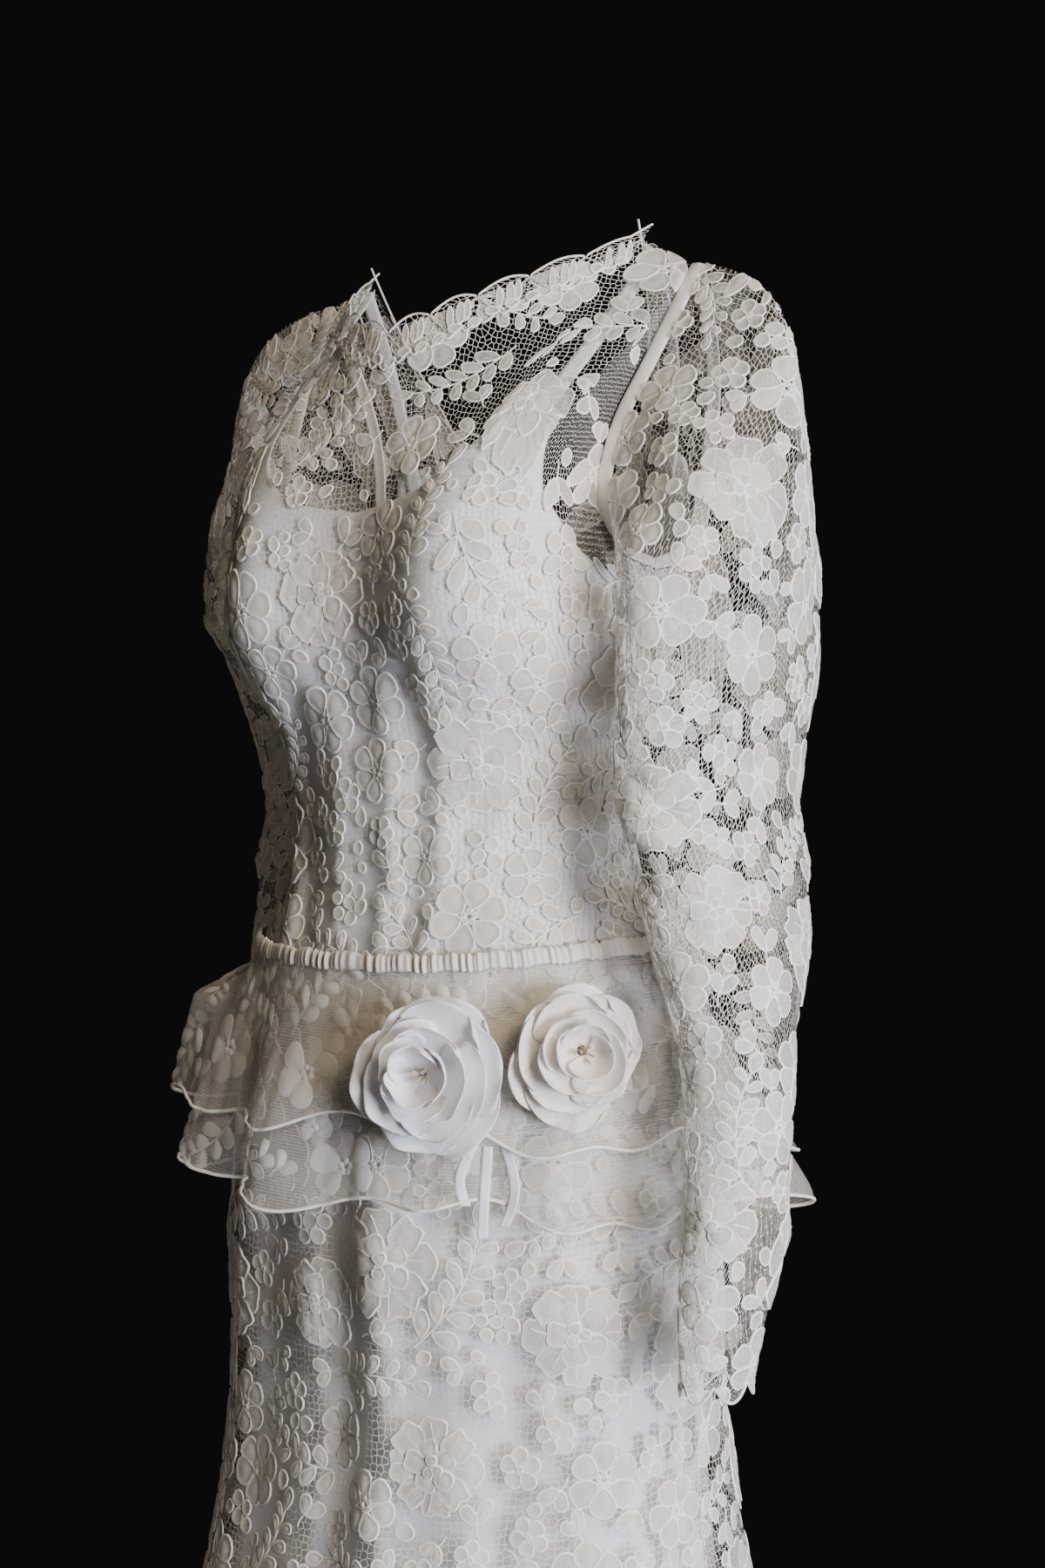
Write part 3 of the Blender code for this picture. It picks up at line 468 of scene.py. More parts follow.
def surface(level, column, is_front):
    """Bodice's outer face at a level, counted like the rows of its solids, and a column."""
    level, column = np.broadcast_arrays(np.asarray(level, float), np.asarray(column, float))
    turn = np.pi * column / COLUMNS
    angle = turn if is_front else 2 * np.pi - turn
    seam = seam_z(angle) + SEAM_GAP / 2
    low = body(angle, seam + (BUST_Z - seam) * np.clip(level / BODY_ROWS, 0, 1))
    top = straight(LINING_TOP, np.abs(column - HALF) / HALF)
    rise = top * np.clip((level - BODY_ROWS) / LINING_ROWS, 0, 1)
    rise = rise + (1 - top) * np.clip((level - BODY_ROWS - LINING_ROWS) / YOKE_ROWS, 0, 1)
    return np.where((level > BODY_ROWS)[..., None], yoke(column, rise, is_front), low)


def even(grid):
    """The same rows of points, spaced evenly along each row."""
    result = np.empty_like(grid)
    for i, row in enumerate(grid):
        run = np.concatenate([[0], np.cumsum(np.linalg.norm(np.diff(row, axis=0), axis=1))])
        places = np.linspace(0, run[-1], len(row))
        result[i] = np.stack([np.interp(places, run, row[:, k]) for k in range(3)], -1)
    return result


def creased_shift(grid, across, table):
    """How far each point moves out of the cloth on the table's soft troughs and ridges."""
    z = grid[..., 2]
    shift = np.zeros(z.shape)
    for x0, z0, x1, z1, width, height in table:
        dx, dz = x1 - x0, z1 - z0
        share = np.clip(((across - x0) * dx + (z - z0) * dz) / (dx * dx + dz * dz), 0, 1)
        away = np.hypot(across - x0 - dx * share, z - z0 - dz * share)
        shift += height * np.exp(-(away / width) ** 2)
    return shift


def creased(grid, across, table):
    """Grid pushed in and out along soft troughs and ridges."""
    return grid + Cloth(grid).normal * creased_shift(grid, across, table)[..., None]


class Cloth:
    """Grid of points on a sheet, open or closed to a ring, with outward normals and flat lengths."""

    def __init__(self, grid, ring=False):
        self.grid, self.ring = grid, ring
        if ring:
            self.along = (np.roll(grid, -1, 1) - np.roll(grid, 1, 1)) / 2
        else:
            self.along = np.gradient(grid, axis=1)
        self.across = np.gradient(grid, axis=0)
        normal = unit(np.cross(self.along, self.across))
        self.flipped = np.sum(normal * (grid - grid.mean(axis=1, keepdims=True))) < 0
        self.normal = -normal if self.flipped else normal
        run = np.cumsum(np.linalg.norm(np.diff(grid, axis=1), axis=-1), axis=1)
        run = np.concatenate([np.zeros((len(grid), 1)), run], axis=1)
        rise = np.cumsum(np.linalg.norm(np.diff(grid, axis=0), axis=-1), axis=0)
        rise = np.concatenate([np.zeros((1, grid.shape[1])), rise], axis=0)
        self.flat = np.stack([run - run[:, -1:] / 2, rise], -1)

    def moved(self, distance):
        """The grid moved out along its normals."""
        return self.grid + self.normal * distance

    def at(self, where):
        """Points and normals at broken rows and columns, held within the sheet."""
        tall, wide = self.grid.shape[:2]
        i = np.clip(where[:, 0], 0, tall - 1.0001)
        j = where[:, 1] % wide if self.ring else np.clip(where[:, 1], 0, wide - 1.0001)
        a = i.astype(int)
        b = np.minimum(j.astype(int), wide - 1)
        c = (b + 1) % wide
        s, t = (i - a)[:, None], (j - b)[:, None]

        def mix(g):
            low = g[a, b] * (1 - t) + g[a, c] * t
            return low * (1 - s) + (g[a + 1, b] * (1 - t) + g[a + 1, c] * t) * s

        return mix(self.grid), unit(mix(self.normal))

    def outside(self, where):
        """Which places, as row and column, lie off the sheet."""
        tall, wide = self.grid.shape[:2]
        out = (where[:, 0] < 0) | (where[:, 0] > tall - 1)
        return out if self.ring else out | (where[:, 1] < 0) | (where[:, 1] > wide - 1)

    def frame(self, i, j):
        """Matrix from metres on the sheet at a place to rows and columns."""
        a, b = min(int(i), len(self.grid) - 1), int(j) % self.grid.shape[1]
        side, up, normal = self.along[a, b], self.across[a, b], self.normal[a, b]
        first = side / np.linalg.norm(side)
        second = np.cross(normal, first)
        step = np.array([[side @ first, up @ first], [side @ second, up @ second]])
        inverse = np.linalg.inv(step)
        return inverse[::-1]


class Maker:
    """Collects points and faces, and makes one mesh object of them."""

    def __init__(self):
        self.points, self.flat, self.tones = [], [], []
        self.faces, self.kinds = [], []
        self.count = 0

    def add(self, points, faces, kind=0, flat=None, tone=0.5):
        """Take up points and the faces between them."""
        points = np.asarray(points, float).reshape(-1, 3)
        self.points.append(points)
        self.flat.append(np.zeros((len(points), 2)) if flat is None else flat.reshape(-1, 2))
        self.tones.append(np.zeros(len(points)) + tone)
        for group in faces if isinstance(faces, list) else [faces]:
            self.faces.extend((group + self.count).tolist())
            self.kinds.extend([kind] * len(group))
        self.count += len(points)

    def sheet(self, cloth, distance=0.0, kind=0):
        """One skin of cloth."""
        faces = grid_faces(*cloth.grid.shape[:2], cloth.ring)
        if cloth.flipped:
            faces = faces[:, ::-1]
        self.add(cloth.moved(distance), faces, kind, cloth.flat)

    def shell(self, cloth, distance, thickness, kind=0):
        """Closed thin shell: outer skin at a distance from the cloth's grid."""
        tall, wide = cloth.grid.shape[:2]
        faces = grid_faces(tall, wide, cloth.ring)
        if cloth.flipped:
            faces = faces[:, ::-1]
        size = tall * wide
        ring = edge_loop(tall, wide, cloth.ring)
        rims = []
        for loop in ring:
            a, b = loop[:-1], loop[1:]
            quads = np.stack([a, b, b + size, a + size], -1)
            rims.append(quads if cloth.flipped else quads[:, ::-1])
        points = np.concatenate([
            cloth.moved(distance).reshape(-1, 3), cloth.moved(distance - thickness).reshape(-1, 3)
        ])
        flat = np.concatenate([cloth.flat.reshape(-1, 2)] * 2)
        self.add(points, [faces, faces[:, ::-1] + size] + rims, kind, flat)

    def tube(self, path, up, radius, kind=0, ring=False, sides=6, tone=0.5):
        """Round cord along a path."""
        path = np.asarray(path, float)
        if ring:
            ahead = unit(np.roll(path, -1, 0) - np.roll(path, 1, 0))
        else:
            ahead = unit(np.gradient(path, axis=0))
        beside = unit(np.cross(ahead, up))
        over = np.cross(beside, ahead)
        turn = 2 * np.pi * np.arange(sides) / sides
        radius = np.zeros(len(path)) + radius
        points = (
            path[:, None]
            + beside[:, None] * np.cos(turn)[None, :, None] * radius[:, None, None]
            + over[:, None] * np.sin(turn)[None, :, None] * radius[:, None, None]
        )
        count = len(path)
        i, j = np.meshgrid(np.arange(count if ring else count - 1), np.arange(sides), indexing="ij")
        n, k = (i + 1) % count, (j + 1) % sides
        faces = np.stack([i * sides + j, n * sides + j, n * sides + k, i * sides + k], -1).reshape(-1, 4)
        groups = [faces]
        if not ring:
            last = (count - 1) * sides
            groups.append(np.arange(sides)[None, ::-1])
            groups.append(last + np.arange(sides)[None, :])
        self.add(points, groups, kind, tone=tone)

    def finish(self, name, materials, nodes):
        """Make the mesh object, in the place of its CAD nodes."""
        mesh = bpy.data.meshes.new(name)
        mesh.from_pydata(np.concatenate(self.points).tolist(), [], self.faces)
        flat = np.concatenate(self.flat)
        index = np.empty(len(mesh.loops), np.int32)
        mesh.loops.foreach_get("vertex_index", index)
        layer = mesh.uv_layers.new(name="flat")
        layer.data.foreach_set("uv", flat[index].astype(np.float32).ravel())
        tone = mesh.attributes.new("tone", "FLOAT", "POINT")
        tone.data.foreach_set("value", np.concatenate(self.tones).astype(np.float32))
        mesh.polygons.foreach_set("material_index", np.array(self.kinds, np.int32))
        mesh.polygons.foreach_set("use_smooth", np.ones(len(self.faces), bool))
        mesh.update()
        piece = bpy.data.objects.new(name, mesh)
        bpy.context.scene.collection.objects.link(piece)
        for shader in materials:
            mesh.materials.append(shader)
        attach(piece, "root")
        if nodes:
            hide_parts(*nodes)
        return piece


def grid_faces(tall, wide, ring):
    """Four-sided faces of a grid of points."""
    i, j = np.meshgrid(np.arange(tall - 1), np.arange(wide if ring else wide - 1), indexing="ij")
    k = (j + 1) % wide
    return np.stack([i * wide + j, i * wide + k, (i + 1) * wide + k, (i + 1) * wide + j], -1).reshape(-1, 4)


def edge_loop(tall, wide, ring):
    """Edges of a grid as closed runs of point numbers, with its faces on the left."""
    index = np.arange(tall * wide).reshape(tall, wide)
    if ring:
        low, high = index[0], index[-1][::-1]
        return [np.append(low, low[0]), np.append(high, high[0])]
    loop = np.concatenate([index[0, :-1], index[:-1, -1], index[-1, :0:-1], index[:0:-1, 0]])
    return [np.append(loop, loop[0])]


def leaf(x, y, turn, length, width, blunt=0.7, wave=0.0, beats=5, notch=0.0, count=14):
    """Outline of a leaf or petal that starts at x, y."""
    t = 2 * np.pi * np.arange(count) / count
    along = length * (1 - np.cos(t)) / 2 - notch * length * np.exp(-((t - np.pi) / 0.45) ** 2)
    across = -0.62 * width * np.sin(t) * np.abs(np.sin(t / 2)) ** blunt
    ripple = 1 + wave * np.cos(beats * t + 900 * x + 700 * y + turn)
    along = length / 2 + (along - length / 2) * ripple
    across = across * ripple
    c, s = math.cos(turn), math.sin(turn)
    return np.stack([x + along * c - across * s, y + along * s + across * c], -1)


class Motif:
    """Petals and stems in metres about a centre, with the discs that they cover."""

    def __init__(self):
        self.petals, self.stems, self.discs = [], [], []

    def petal(self, outline, lift=0.0002, dome=0.0010, tone=0.5):
        """Add a petal and the disc it covers."""
        self.petals.append((outline, lift, dome, tone))
        centre = outline.mean(0)
        self.discs.append((*centre, 0.92 * np.linalg.norm(outline - centre, axis=1).mean()))

    def stem(self, points, lift=0.0):
        """Add a stem and the discs it covers."""
        self.stems.append((points, lift))
        for point in points[:: max(1, len(points) // 4)]:
            self.discs.append((*point, 0.0012))


def make_bloom(wild):
    """Large open flower: eight ruffled petals, five inner ones and a small heart."""
    motif = Motif()
    for k in range(8):
        turn = 2 * math.pi * k / 8 + wild.uniform(-0.12, 0.12)
        start = wild.uniform(0.008, 0.011)
        motif.petal(
            leaf(start * math.cos(turn), start * math.sin(turn), turn, wild.uniform(0.023, 0.029),
                 wild.uniform(0.018, 0.023), 0.35, 0.09, 5, wild.uniform(0.02, 0.16), 18),
            0.0002 + 0.0005 * (k % 2), 0.0014, wild.random(),
        )
    for k in range(5):
        turn = 2 * math.pi * k / 5 + 0.3 + wild.uniform(-0.2, 0.2)
        motif.petal(
            leaf(0.003 * math.cos(turn), 0.003 * math.sin(turn), turn, wild.uniform(0.016, 0.021),
                 wild.uniform(0.012, 0.016), 0.4, 0.08, 4, 0.08, 16),
            0.0013 + 0.0005 * (k % 2), 0.0012, wild.random(),
        )
    for k in range(3):
        turn = 2 * math.pi * k / 3 + wild.uniform(0, 1)
        shape = leaf(0.0, 0.0, turn, 0.009, 0.008, 0.5, 0.04, 3, 0.05, 12)
        motif.petal(shape, 0.0024, 0.0008, wild.random())
    for k in range(8):
        turn = 2 * math.pi * k / 8 + wild.uniform(-0.1, 0.1)
        run = np.linspace(0.018, wild.uniform(0.026, 0.031), 5)
        bend = wild.uniform(-14, 14)
        motif.stems.append((np.stack([
            run * np.cos(turn + bend * (run - 0.018)), run * np.sin(turn + bend * (run - 0.018))
        ], -1), 0.0014))
    return motif


def make_flower(wild):
    """Flower with six rounded petals and a small heart."""
    motif = Motif()
    petals = 6
    for k in range(petals):
        turn = 2 * math.pi * k / petals + wild.uniform(-0.06, 0.06)
        motif.petal(
            leaf(0.0042 * math.cos(turn), 0.0042 * math.sin(turn), turn, wild.uniform(0.0165, 0.019),
                 wild.uniform(0.014, 0.016), 0.6, 0.03, 4, wild.uniform(0.0, 0.06), 14),
            0.0002 + 0.0003 * (k % 2), 0.0010, wild.random(),
        )
    for k in range(5):
        turn = 2 * math.pi * k / 5
        x, y = 0.0016 * math.cos(turn), 0.0016 * math.sin(turn)
        motif.petal(leaf(x, y, turn, 0.0032, 0.0030, 0.3, count=8), 0.0005, 0.0006, 0.8)
    return motif


def make_small(wild):
    """Small flower with five petals."""
    motif = Motif()
    for k in range(5):
        turn = 2 * math.pi * k / 5 + wild.uniform(-0.08, 0.08)
        x, y = 0.0018 * math.cos(turn), 0.0018 * math.sin(turn)
        shape = leaf(x, y, turn, wild.uniform(0.0088, 0.0105), 0.0088, 0.5, count=10)
        motif.petal(shape, 0.0002 + 0.0002 * (k % 2), 0.0008, wild.random())
    motif.petal(leaf(-0.0016, 0.0, 0.0, 0.0032, 0.0032, 0.0, count=8), 0.0008, 0.0006, 0.9)
    return motif


def make_cluster(wild):
    """Cluster of five to seven round berries."""
    motif = Motif()
    for k in range(wild.randint(5, 7)):
        turn = wild.uniform(0, 6.28)
        x, y = ((0, 0), (0.0095, 0.001), (0.004, 0.009), (-0.006, 0.008), (-0.010, -0.001),
                (-0.004, -0.009), (0.006, -0.008))[k]
        size = wild.uniform(0.0075, 0.0098)
        x, y = x - size / 2 * math.cos(turn), y - size / 2 * math.sin(turn)
        shape = leaf(x, y, turn, size, size * 0.95, 0.1, 0.03, 3, 0.0, 10)
        motif.petal(shape, 0.0002 + 0.0002 * (k % 3), 0.0010, wild.random())
    return motif


def make_sprig(wild):
    """Curved stem with leaves on both sides."""
    motif = Motif()
    bend = wild.uniform(8, 17) * wild.choice((-1, 1))
    run = np.linspace(-0.036, 0.036, 13)
    heading = bend * run + wild.uniform(-0.2, 0.2)
    step = run[1] - run[0]
    path = np.stack([np.cumsum(np.cos(heading)) * step, np.cumsum(np.sin(heading)) * step], -1)
    path -= path.mean(0)
    motif.stem(path)
    for k in range(1, 12):
        side = 1 if k % 2 else -1
        size = 0.0165 - 0.0006 * k
        turn = heading[k] + side * wild.uniform(0.75, 1.05)
        x, y = path[k] + 0.0012 * np.array([math.cos(turn), math.sin(turn)])
        motif.petal(leaf(x, y, turn, size * wild.uniform(0.9, 1.1), size * 0.56, 0.55, 0.06, 4, 0.0, 12),
                    0.0002, 0.0009, wild.random())
    shape = leaf(*path[-1], heading[-1], 0.014, 0.0085, 0.6, 0.05, 4, 0.0, 12)
    motif.petal(shape, 0.0002, 0.0009, wild.random())
    return motif


def make_pair(wild):
    """Pair of leaves on a short stem."""
    motif = Motif()
    spread = wild.uniform(0.45, 0.7)
    for side in (-1, 1):
        long = wild.uniform(0.012, 0.016)
        shape = leaf(-0.004, 0.0, side * spread, long, 0.0078, 0.55, 0.05, 4, 0.0, 12)
        motif.petal(shape, 0.0002, 0.0009, wild.random())
    stem = np.stack([np.linspace(-0.012, -0.004, 4), 0.001 * np.sin(np.linspace(0, 3, 4))], -1)
    motif.stems = [(stem, 0.0)]
    return motif


def make_oval(wild):
    """Single oval leaf."""
    motif = Motif()
    long = wild.uniform(0.008, 0.013)
    motif.petal(leaf(-long / 2, 0.0, 0.0, long, long * wild.uniform(0.6, 0.8), 0.25, 0.04, 3, 0.0, 10),
                0.0002, 0.0008, wild.random())
    return motif


MOTIF_MAKERS = {
    "bloom": make_bloom,
    "flower": make_flower,
    "small": make_small,
    "cluster": make_cluster,
    "sprig": make_sprig,
    "pair": make_pair,
    "oval": make_oval,
}


def petal_mesh(outline, lift, dome, cord, cord_height):
    """Rings of a petal from its outer foot over the cord and in to its centre: plan, height, faces."""
    count = len(outline)
    centre = outline.mean(0)
    arm = outline - centre
    length = np.maximum(np.linalg.norm(arm, axis=1, keepdims=True), 1e-5)
    rings = [
        (centre + arm * (1 + cord / length), max(lift - 0.0006, 0.0001)),
        (outline, lift + cord_height),
        (centre + arm * np.maximum(1 - cord / length, 0.3), lift + 0.0003),
    ]
    if count > 10:
        rings.append((centre + arm * 0.5, lift + 0.0003 + dome * 0.75))
    plan = np.concatenate([r[0] for r in rings] + [centre[None]])
    height = np.concatenate([np.full(count, r[1]) for r in rings] + [[lift + 0.0003 + dome]])
    k = np.arange(count)
    n = (k + 1) % count
    strips = [np.stack([r * count + k, r * count + n, (r + 1) * count + n, (r + 1) * count + k], -1)
              for r in range(len(rings) - 1)]
    last = (len(rings) - 1) * count
    fan = np.stack([last + k, last + n, np.full(count, len(plan) - 1)], -1)
    return plan, height, strips[:2], strips[2:] + [fan]


def lay_motifs(maker, cloth, plans, placed, seed, lift, cord, cord_height, kinds):
    """Lay the placed motifs, then scatter each plan's over its rows so that their petals don't meet."""
    wild = random.Random(seed)
    corner = cloth.grid[1:, 1:] - cloth.grid[:-1, :-1]
    other = cloth.grid[1:, :-1] - cloth.grid[:-1, 1:]
    area = np.linalg.norm(np.cross(corner, other), axis=-1) / 2
    variants = {name: [make(wild) for k in range(4)] for name, make in MOTIF_MAKERS.items()}
    taken = np.zeros((0, 4))

    def lay(name, i, j, turn, size, forced):
        """Lay one motif at a row and column if there is room."""
        nonlocal taken
        motif = wild.choice(variants[name])
        c, s = math.cos(turn) * size, math.sin(turn) * size
        matrix = cloth.frame(i, j) @ np.array([[c, -s], [s, c]])
        discs = np.array(motif.discs)
        where = discs[:, :2] @ matrix.T + (i, j)
        inside = ~cloth.outside(where)
        if inside.mean() < 0.55 and not forced:
            return False
        spots = cloth.at(where[inside])[0]
        radius = discs[inside, 2] * size
        if len(taken) and not forced:
            gap = np.linalg.norm(spots[:, None] - taken[None, :, :3], axis=-1)
            if (gap < MOTIF_GAP * (radius[:, None] + taken[None, :, 3])).any():
                return False
        taken = np.concatenate([taken, np.concatenate([spots, radius[:, None]], 1)])
        for outline, raised, dome, tone in motif.petals:
            parts = petal_mesh(outline * size, raised, dome, cord, cord_height)
            add_flat(maker, cloth, parts, matrix / size, (i, j), lift, kinds, tone)
        for path, raised in motif.stems:
            parts = stem_mesh(path * size, raised, cord, cord_height)
            add_flat(maker, cloth, parts, matrix / size, (i, j), lift, kinds, 0.5)
        return True

    for name, x, y, z, turn, size in placed:
        away = np.linalg.norm(cloth.grid - (x, y, z), axis=-1)
        i, j = np.unravel_index(np.argmin(away), away.shape)
        lay(name, i, j, turn, size, True)
    for plan, (low, high) in plans:
        share = np.cumsum(area[low:high].ravel())
        for name, each, tries in plan:
            left = int(share[-1] / each) + 1
            for attempt in range(left * tries):
                if left == 0:
                    break
                cell = int(np.searchsorted(share, wild.random() * share[-1]))
                i = low + cell // area.shape[1] + wild.random()
                j = cell % area.shape[1] + wild.random()
                left -= lay(name, i, j, wild.uniform(0, 2 * math.pi), wild.uniform(0.9, 1.1), False)


def stem_mesh(path, lift, cord, cord_height):
    """Raised cord along a path: plan, height, faces."""
    ahead = np.gradient(path, axis=0)
    ahead /= np.maximum(np.linalg.norm(ahead, axis=1, keepdims=True), 1e-9)
    side = np.stack([-ahead[:, 1], ahead[:, 0]], -1) * cord
    count = len(path)
    plan = np.concatenate([path - side, path, path + side])
    height = np.repeat([lift + 0.0001, lift + cord_height, lift + 0.0001], count)
    k = np.arange(count - 1)
    strips = [np.stack([r * count + k, r * count + k + 1, (r + 1) * count + k + 1, (r + 1) * count + k], -1)
              for r in range(2)]
    return plan, height, strips, []


def add_flat(maker, cloth, parts, matrix, place, lift, kinds, tone):
    """Lay flat points on a cloth, less the faces that would lie wholly off it."""
    plan, height, cords, fills = parts
    where = plan @ matrix.T + place
    gone = cloth.outside(where)
    if gone.all():
        return
    points, normals = cloth.at(where)
    points = points + normals * (height + lift)[:, None]
    first = True
    for kind, groups in zip(kinds, (cords, fills)):
        kept = [g[~gone[g].all(axis=1)] for g in groups]
        kept = [g for g in kept if len(g)]
        if not kept:
            continue
        if first:
            maker.add(points, kept, kind, plan, tone)
            first = False
        else:
            start = maker.count - len(points)
            for g in kept:
                maker.faces.extend((g + start).tolist())
                maker.kinds.extend([kind] * len(g))


class Value:
    """Output socket of a shader node that can be used in sums."""

    def __init__(self, tree, socket):
        self.tree, self.socket = tree, socket

    def maths(self, operation, first, second=None):
        """Join a maths node and wrap its result."""
        node = self.tree.nodes.new("ShaderNodeMath")
        node.operation = operation
        for slot, value in zip(node.inputs, (first, second)):
            if isinstance(value, Value):
                self.tree.links.new(value.socket, slot)
            elif value is not None:
                slot.default_value = value
        return Value(self.tree, node.outputs[0])

    def __add__(self, other):
        return self.maths("ADD", self, other)

    def __radd__(self, other):
        return self.maths("ADD", other, self)

    def __sub__(self, other):
        return self.maths("SUBTRACT", self, other)

    def __rsub__(self, other):
        return self.maths("SUBTRACT", other, self)

    def __mul__(self, other):
        return self.maths("MULTIPLY", self, other)

    def __rmul__(self, other):
        return self.maths("MULTIPLY", other, self)

    def __truediv__(self, other):
        return self.maths("DIVIDE", self, other)

    def __rtruediv__(self, other):
        return self.maths("DIVIDE", other, self)

    def above(self, other):
        """One where this value is the larger."""
        return self.maths("GREATER_THAN", self, other)

    def below(self, other):
        """One where this value is the smaller."""
        return self.maths("LESS_THAN", self, other)

    def held(self):
        """The value kept from 0 to 1."""
        return self.maths("MINIMUM", self.maths("MAXIMUM", self, 0.0), 1.0)


class Shader:
    """Principled material with fixed settings, and nodes added by name."""

    def __init__(self, name, **settings):
        self.material = bpy.data.materials.new(name)
        self.material.use_nodes = True
        self.tree = self.material.node_tree
        self.base = self.tree.nodes["Principled BSDF"]
        for key, value in settings.items():
            self.base.inputs[key.replace("_", " ")].default_value = value

    def node(self, kind, output=0, inputs=None, **settings):
        """Add a node with its inputs and settings."""
        node = self.tree.nodes.new(kind)
        for key, value in settings.items():
            setattr(node, key, value)
        for key, value in (inputs or {}).items():
            if isinstance(value, Value):
                self.tree.links.new(value.socket, node.inputs[key])
            else:
                node.inputs[key].default_value = value
        return Value(self.tree, node.outputs[output])

    def link(self, key, value):
        """Link a value to an input of the surface."""
        self.tree.links.new(value.socket, self.base.inputs[key])

    def flat(self):
        """Place on the flat cloth in metres."""
        return self.node("ShaderNodeUVMap", uv_map="flat")

    def object_place(self):
        """Place in the object's own coordinates."""
        return self.node("ShaderNodeTexCoord", "Object")

    def noise(self, place, scale, detail=2.0):
        """Soft noise over a place."""
        return self.node("ShaderNodeTexNoise", 0, {"Vector": place, "Scale": scale, "Detail": detail})

    def colour(self, low, high, share):
        """Mix of two colours."""
        return self.node(
            "ShaderNodeMix", 2, {0: share, 6: (*low, 1), 7: (*high, 1)}, data_type="RGBA"
        )

    def bump(self, height, strength, distance):
        """Bump the surface by a height."""
        self.link("Normal", self.node(
            "ShaderNodeBump", 0, {"Height": height, "Strength": strength, "Distance": distance}
        ))


def darker(colour, share):
    """A colour at a share of its strength."""
    return tuple(c * share for c in colour)


def lace_materials(settings):
    """Net, petal filling and cord of the lace."""
    net = Shader("lace_net", Roughness=0.85, Sheen_Weight=0.2)
    edge = net.node("ShaderNodeTexVoronoi", "Distance", {
        "Vector": net.flat(), "Scale": 1 / settings.net_cell, "Randomness": 0.55,
    }, voronoi_dimensions="2D", feature="DISTANCE_TO_EDGE")
    net.link("Alpha", edge.below(settings.net_thread / settings.net_cell / 2) * 0.92)
    tint = net.noise(net.object_place(), 9.0)
    net.link("Base Color", net.colour(darker(settings.lace_colour, 0.93), settings.lace_colour, tint))
    fill = Shader("lace_filling", Roughness=0.9, Sheen_Weight=0.25)
    tone = fill.node("ShaderNodeAttribute", "Fac", attribute_name="tone")
    weave = fill.noise(fill.object_place(), 1100.0, 1.0)
    fill.link("Alpha", (0.48 + 0.28 * tone + 0.6 * (weave - 0.5)).held())
    fill.link("Base Color", fill.colour(darker(settings.lace_colour, 0.90), settings.lace_colour, tone))
    fill.bump(weave, 0.35, 0.0004)
    cord = Shader("lace_cord", Roughness=0.7, Sheen_Weight=0.2)
    twist = cord.noise(cord.object_place(), 900.0, 1.0)
    cord.link("Base Color", cord.colour(darker(settings.cord_colour, 0.93), settings.cord_colour, twist))
    cord.bump(twist, 0.3, 0.0004)
    return [net.material, fill.material, cord.material]


def satin_material(name, colour, roughness, sheen=0.35):
    """Satin with a soft sheen and a fine weave."""
    satin = Shader(name, Roughness=roughness, Sheen_Weight=sheen, Sheen_Roughness=0.4)
    broad = satin.noise(satin.object_place(), 14.0)
    fine = satin.noise(satin.object_place(), 700.0, 1.0)
    satin.link("Base Color", satin.colour(darker(colour, 0.95), colour, broad))
    satin.link("Roughness", roughness - 0.08 + 0.16 * fine)
    satin.bump(fine, 0.12, 0.0003)
    return satin.material


def flounce_materials(settings):
    """Sheer net of the flounces and its soft filling."""
    net = Shader("flounce_net", Roughness=0.8, Sheen_Weight=0.3)
    edge = net.node("ShaderNodeTexVoronoi", "Distance", {
        "Vector": net.flat(), "Scale": 1 / 0.0019, "Randomness": 0.3,
    }, voronoi_dimensions="2D", feature="DISTANCE_TO_EDGE")
    haze = net.noise(net.object_place(), 26.0, 2.0)
    net.link("Alpha", (edge.below(0.10) * 0.30 + 0.12 + 0.3 * (haze - 0.5)).held())
    net.link("Base Color", net.colour(darker(settings.lace_colour, 0.93), settings.lace_colour, haze))
    fill = Shader("flounce_filling", Roughness=0.85, Sheen_Weight=0.3)
    tone = fill.node("ShaderNodeAttribute", "Fac", attribute_name="tone")
    fill.link("Alpha", 0.22 + 0.30 * tone)
    fill.link("Base Color", fill.colour(darker(settings.lace_colour, 0.95), settings.cord_colour, tone))
    return [net.material, fill.material]


def silk_material(name, colour, alpha, tip):
    """Silk of the petals, with painted shade: a darker colour towards each petal's base, deep in the rose's
    heart.
    """
    silk = Shader(
        name, Roughness=0.55, Sheen_Weight=0.4,
        Subsurface_Weight=0.3, Subsurface_Scale=0.004, Subsurface_Radius=(1, 1, 1),
    )
    tone = silk.node("ShaderNodeAttribute", "Fac", attribute_name="tone")
    streak = silk.noise(silk.object_place(), 260.0, 2.0)
    # Painted shade: where the tone is low, at each petal's base, the darker second colour shows; the streak
    # noise varies it at random.
    silk.link("Base Color", silk.colour(tip, colour, (tone * 0.8 + streak * 0.3).held()))
    silk.link("Alpha", (alpha + 0.3 * (streak - 0.5)).held())
    silk.bump(streak, 0.25, 0.0006)
    return silk.material


def bodice_cloths():
    """The lace panels of the bodice: front, back left and back right."""
    levels = np.concatenate([
        np.linspace(0, BODY_ROWS, BODICE_FINE, endpoint=False),
        np.linspace(BODY_ROWS, BODY_ROWS + LINING_ROWS, LINING_FINE, endpoint=False),
        np.linspace(BODY_ROWS + LINING_ROWS, TOP_LEVEL, YOKE_FINE),
    ])[:, None]
    result = {}
    for name, low, high, count, table in (
        ("bodice_front", 0, COLUMNS, 113, FRONT_CREASES),
        ("bodice_back_left", 0, HALF, 57, BACK_CREASES),
        ("bodice_back_right", HALF, COLUMNS, 57, BACK_CREASES),
    ):
        is_front = name == "bodice_front"
        grid = even(surface(levels, np.linspace(low, high, count * 3 - 2)[None], is_front)[:, ::3].copy())
        result[name] = Cloth(creased(grid, grid[..., 0], table))
    return result


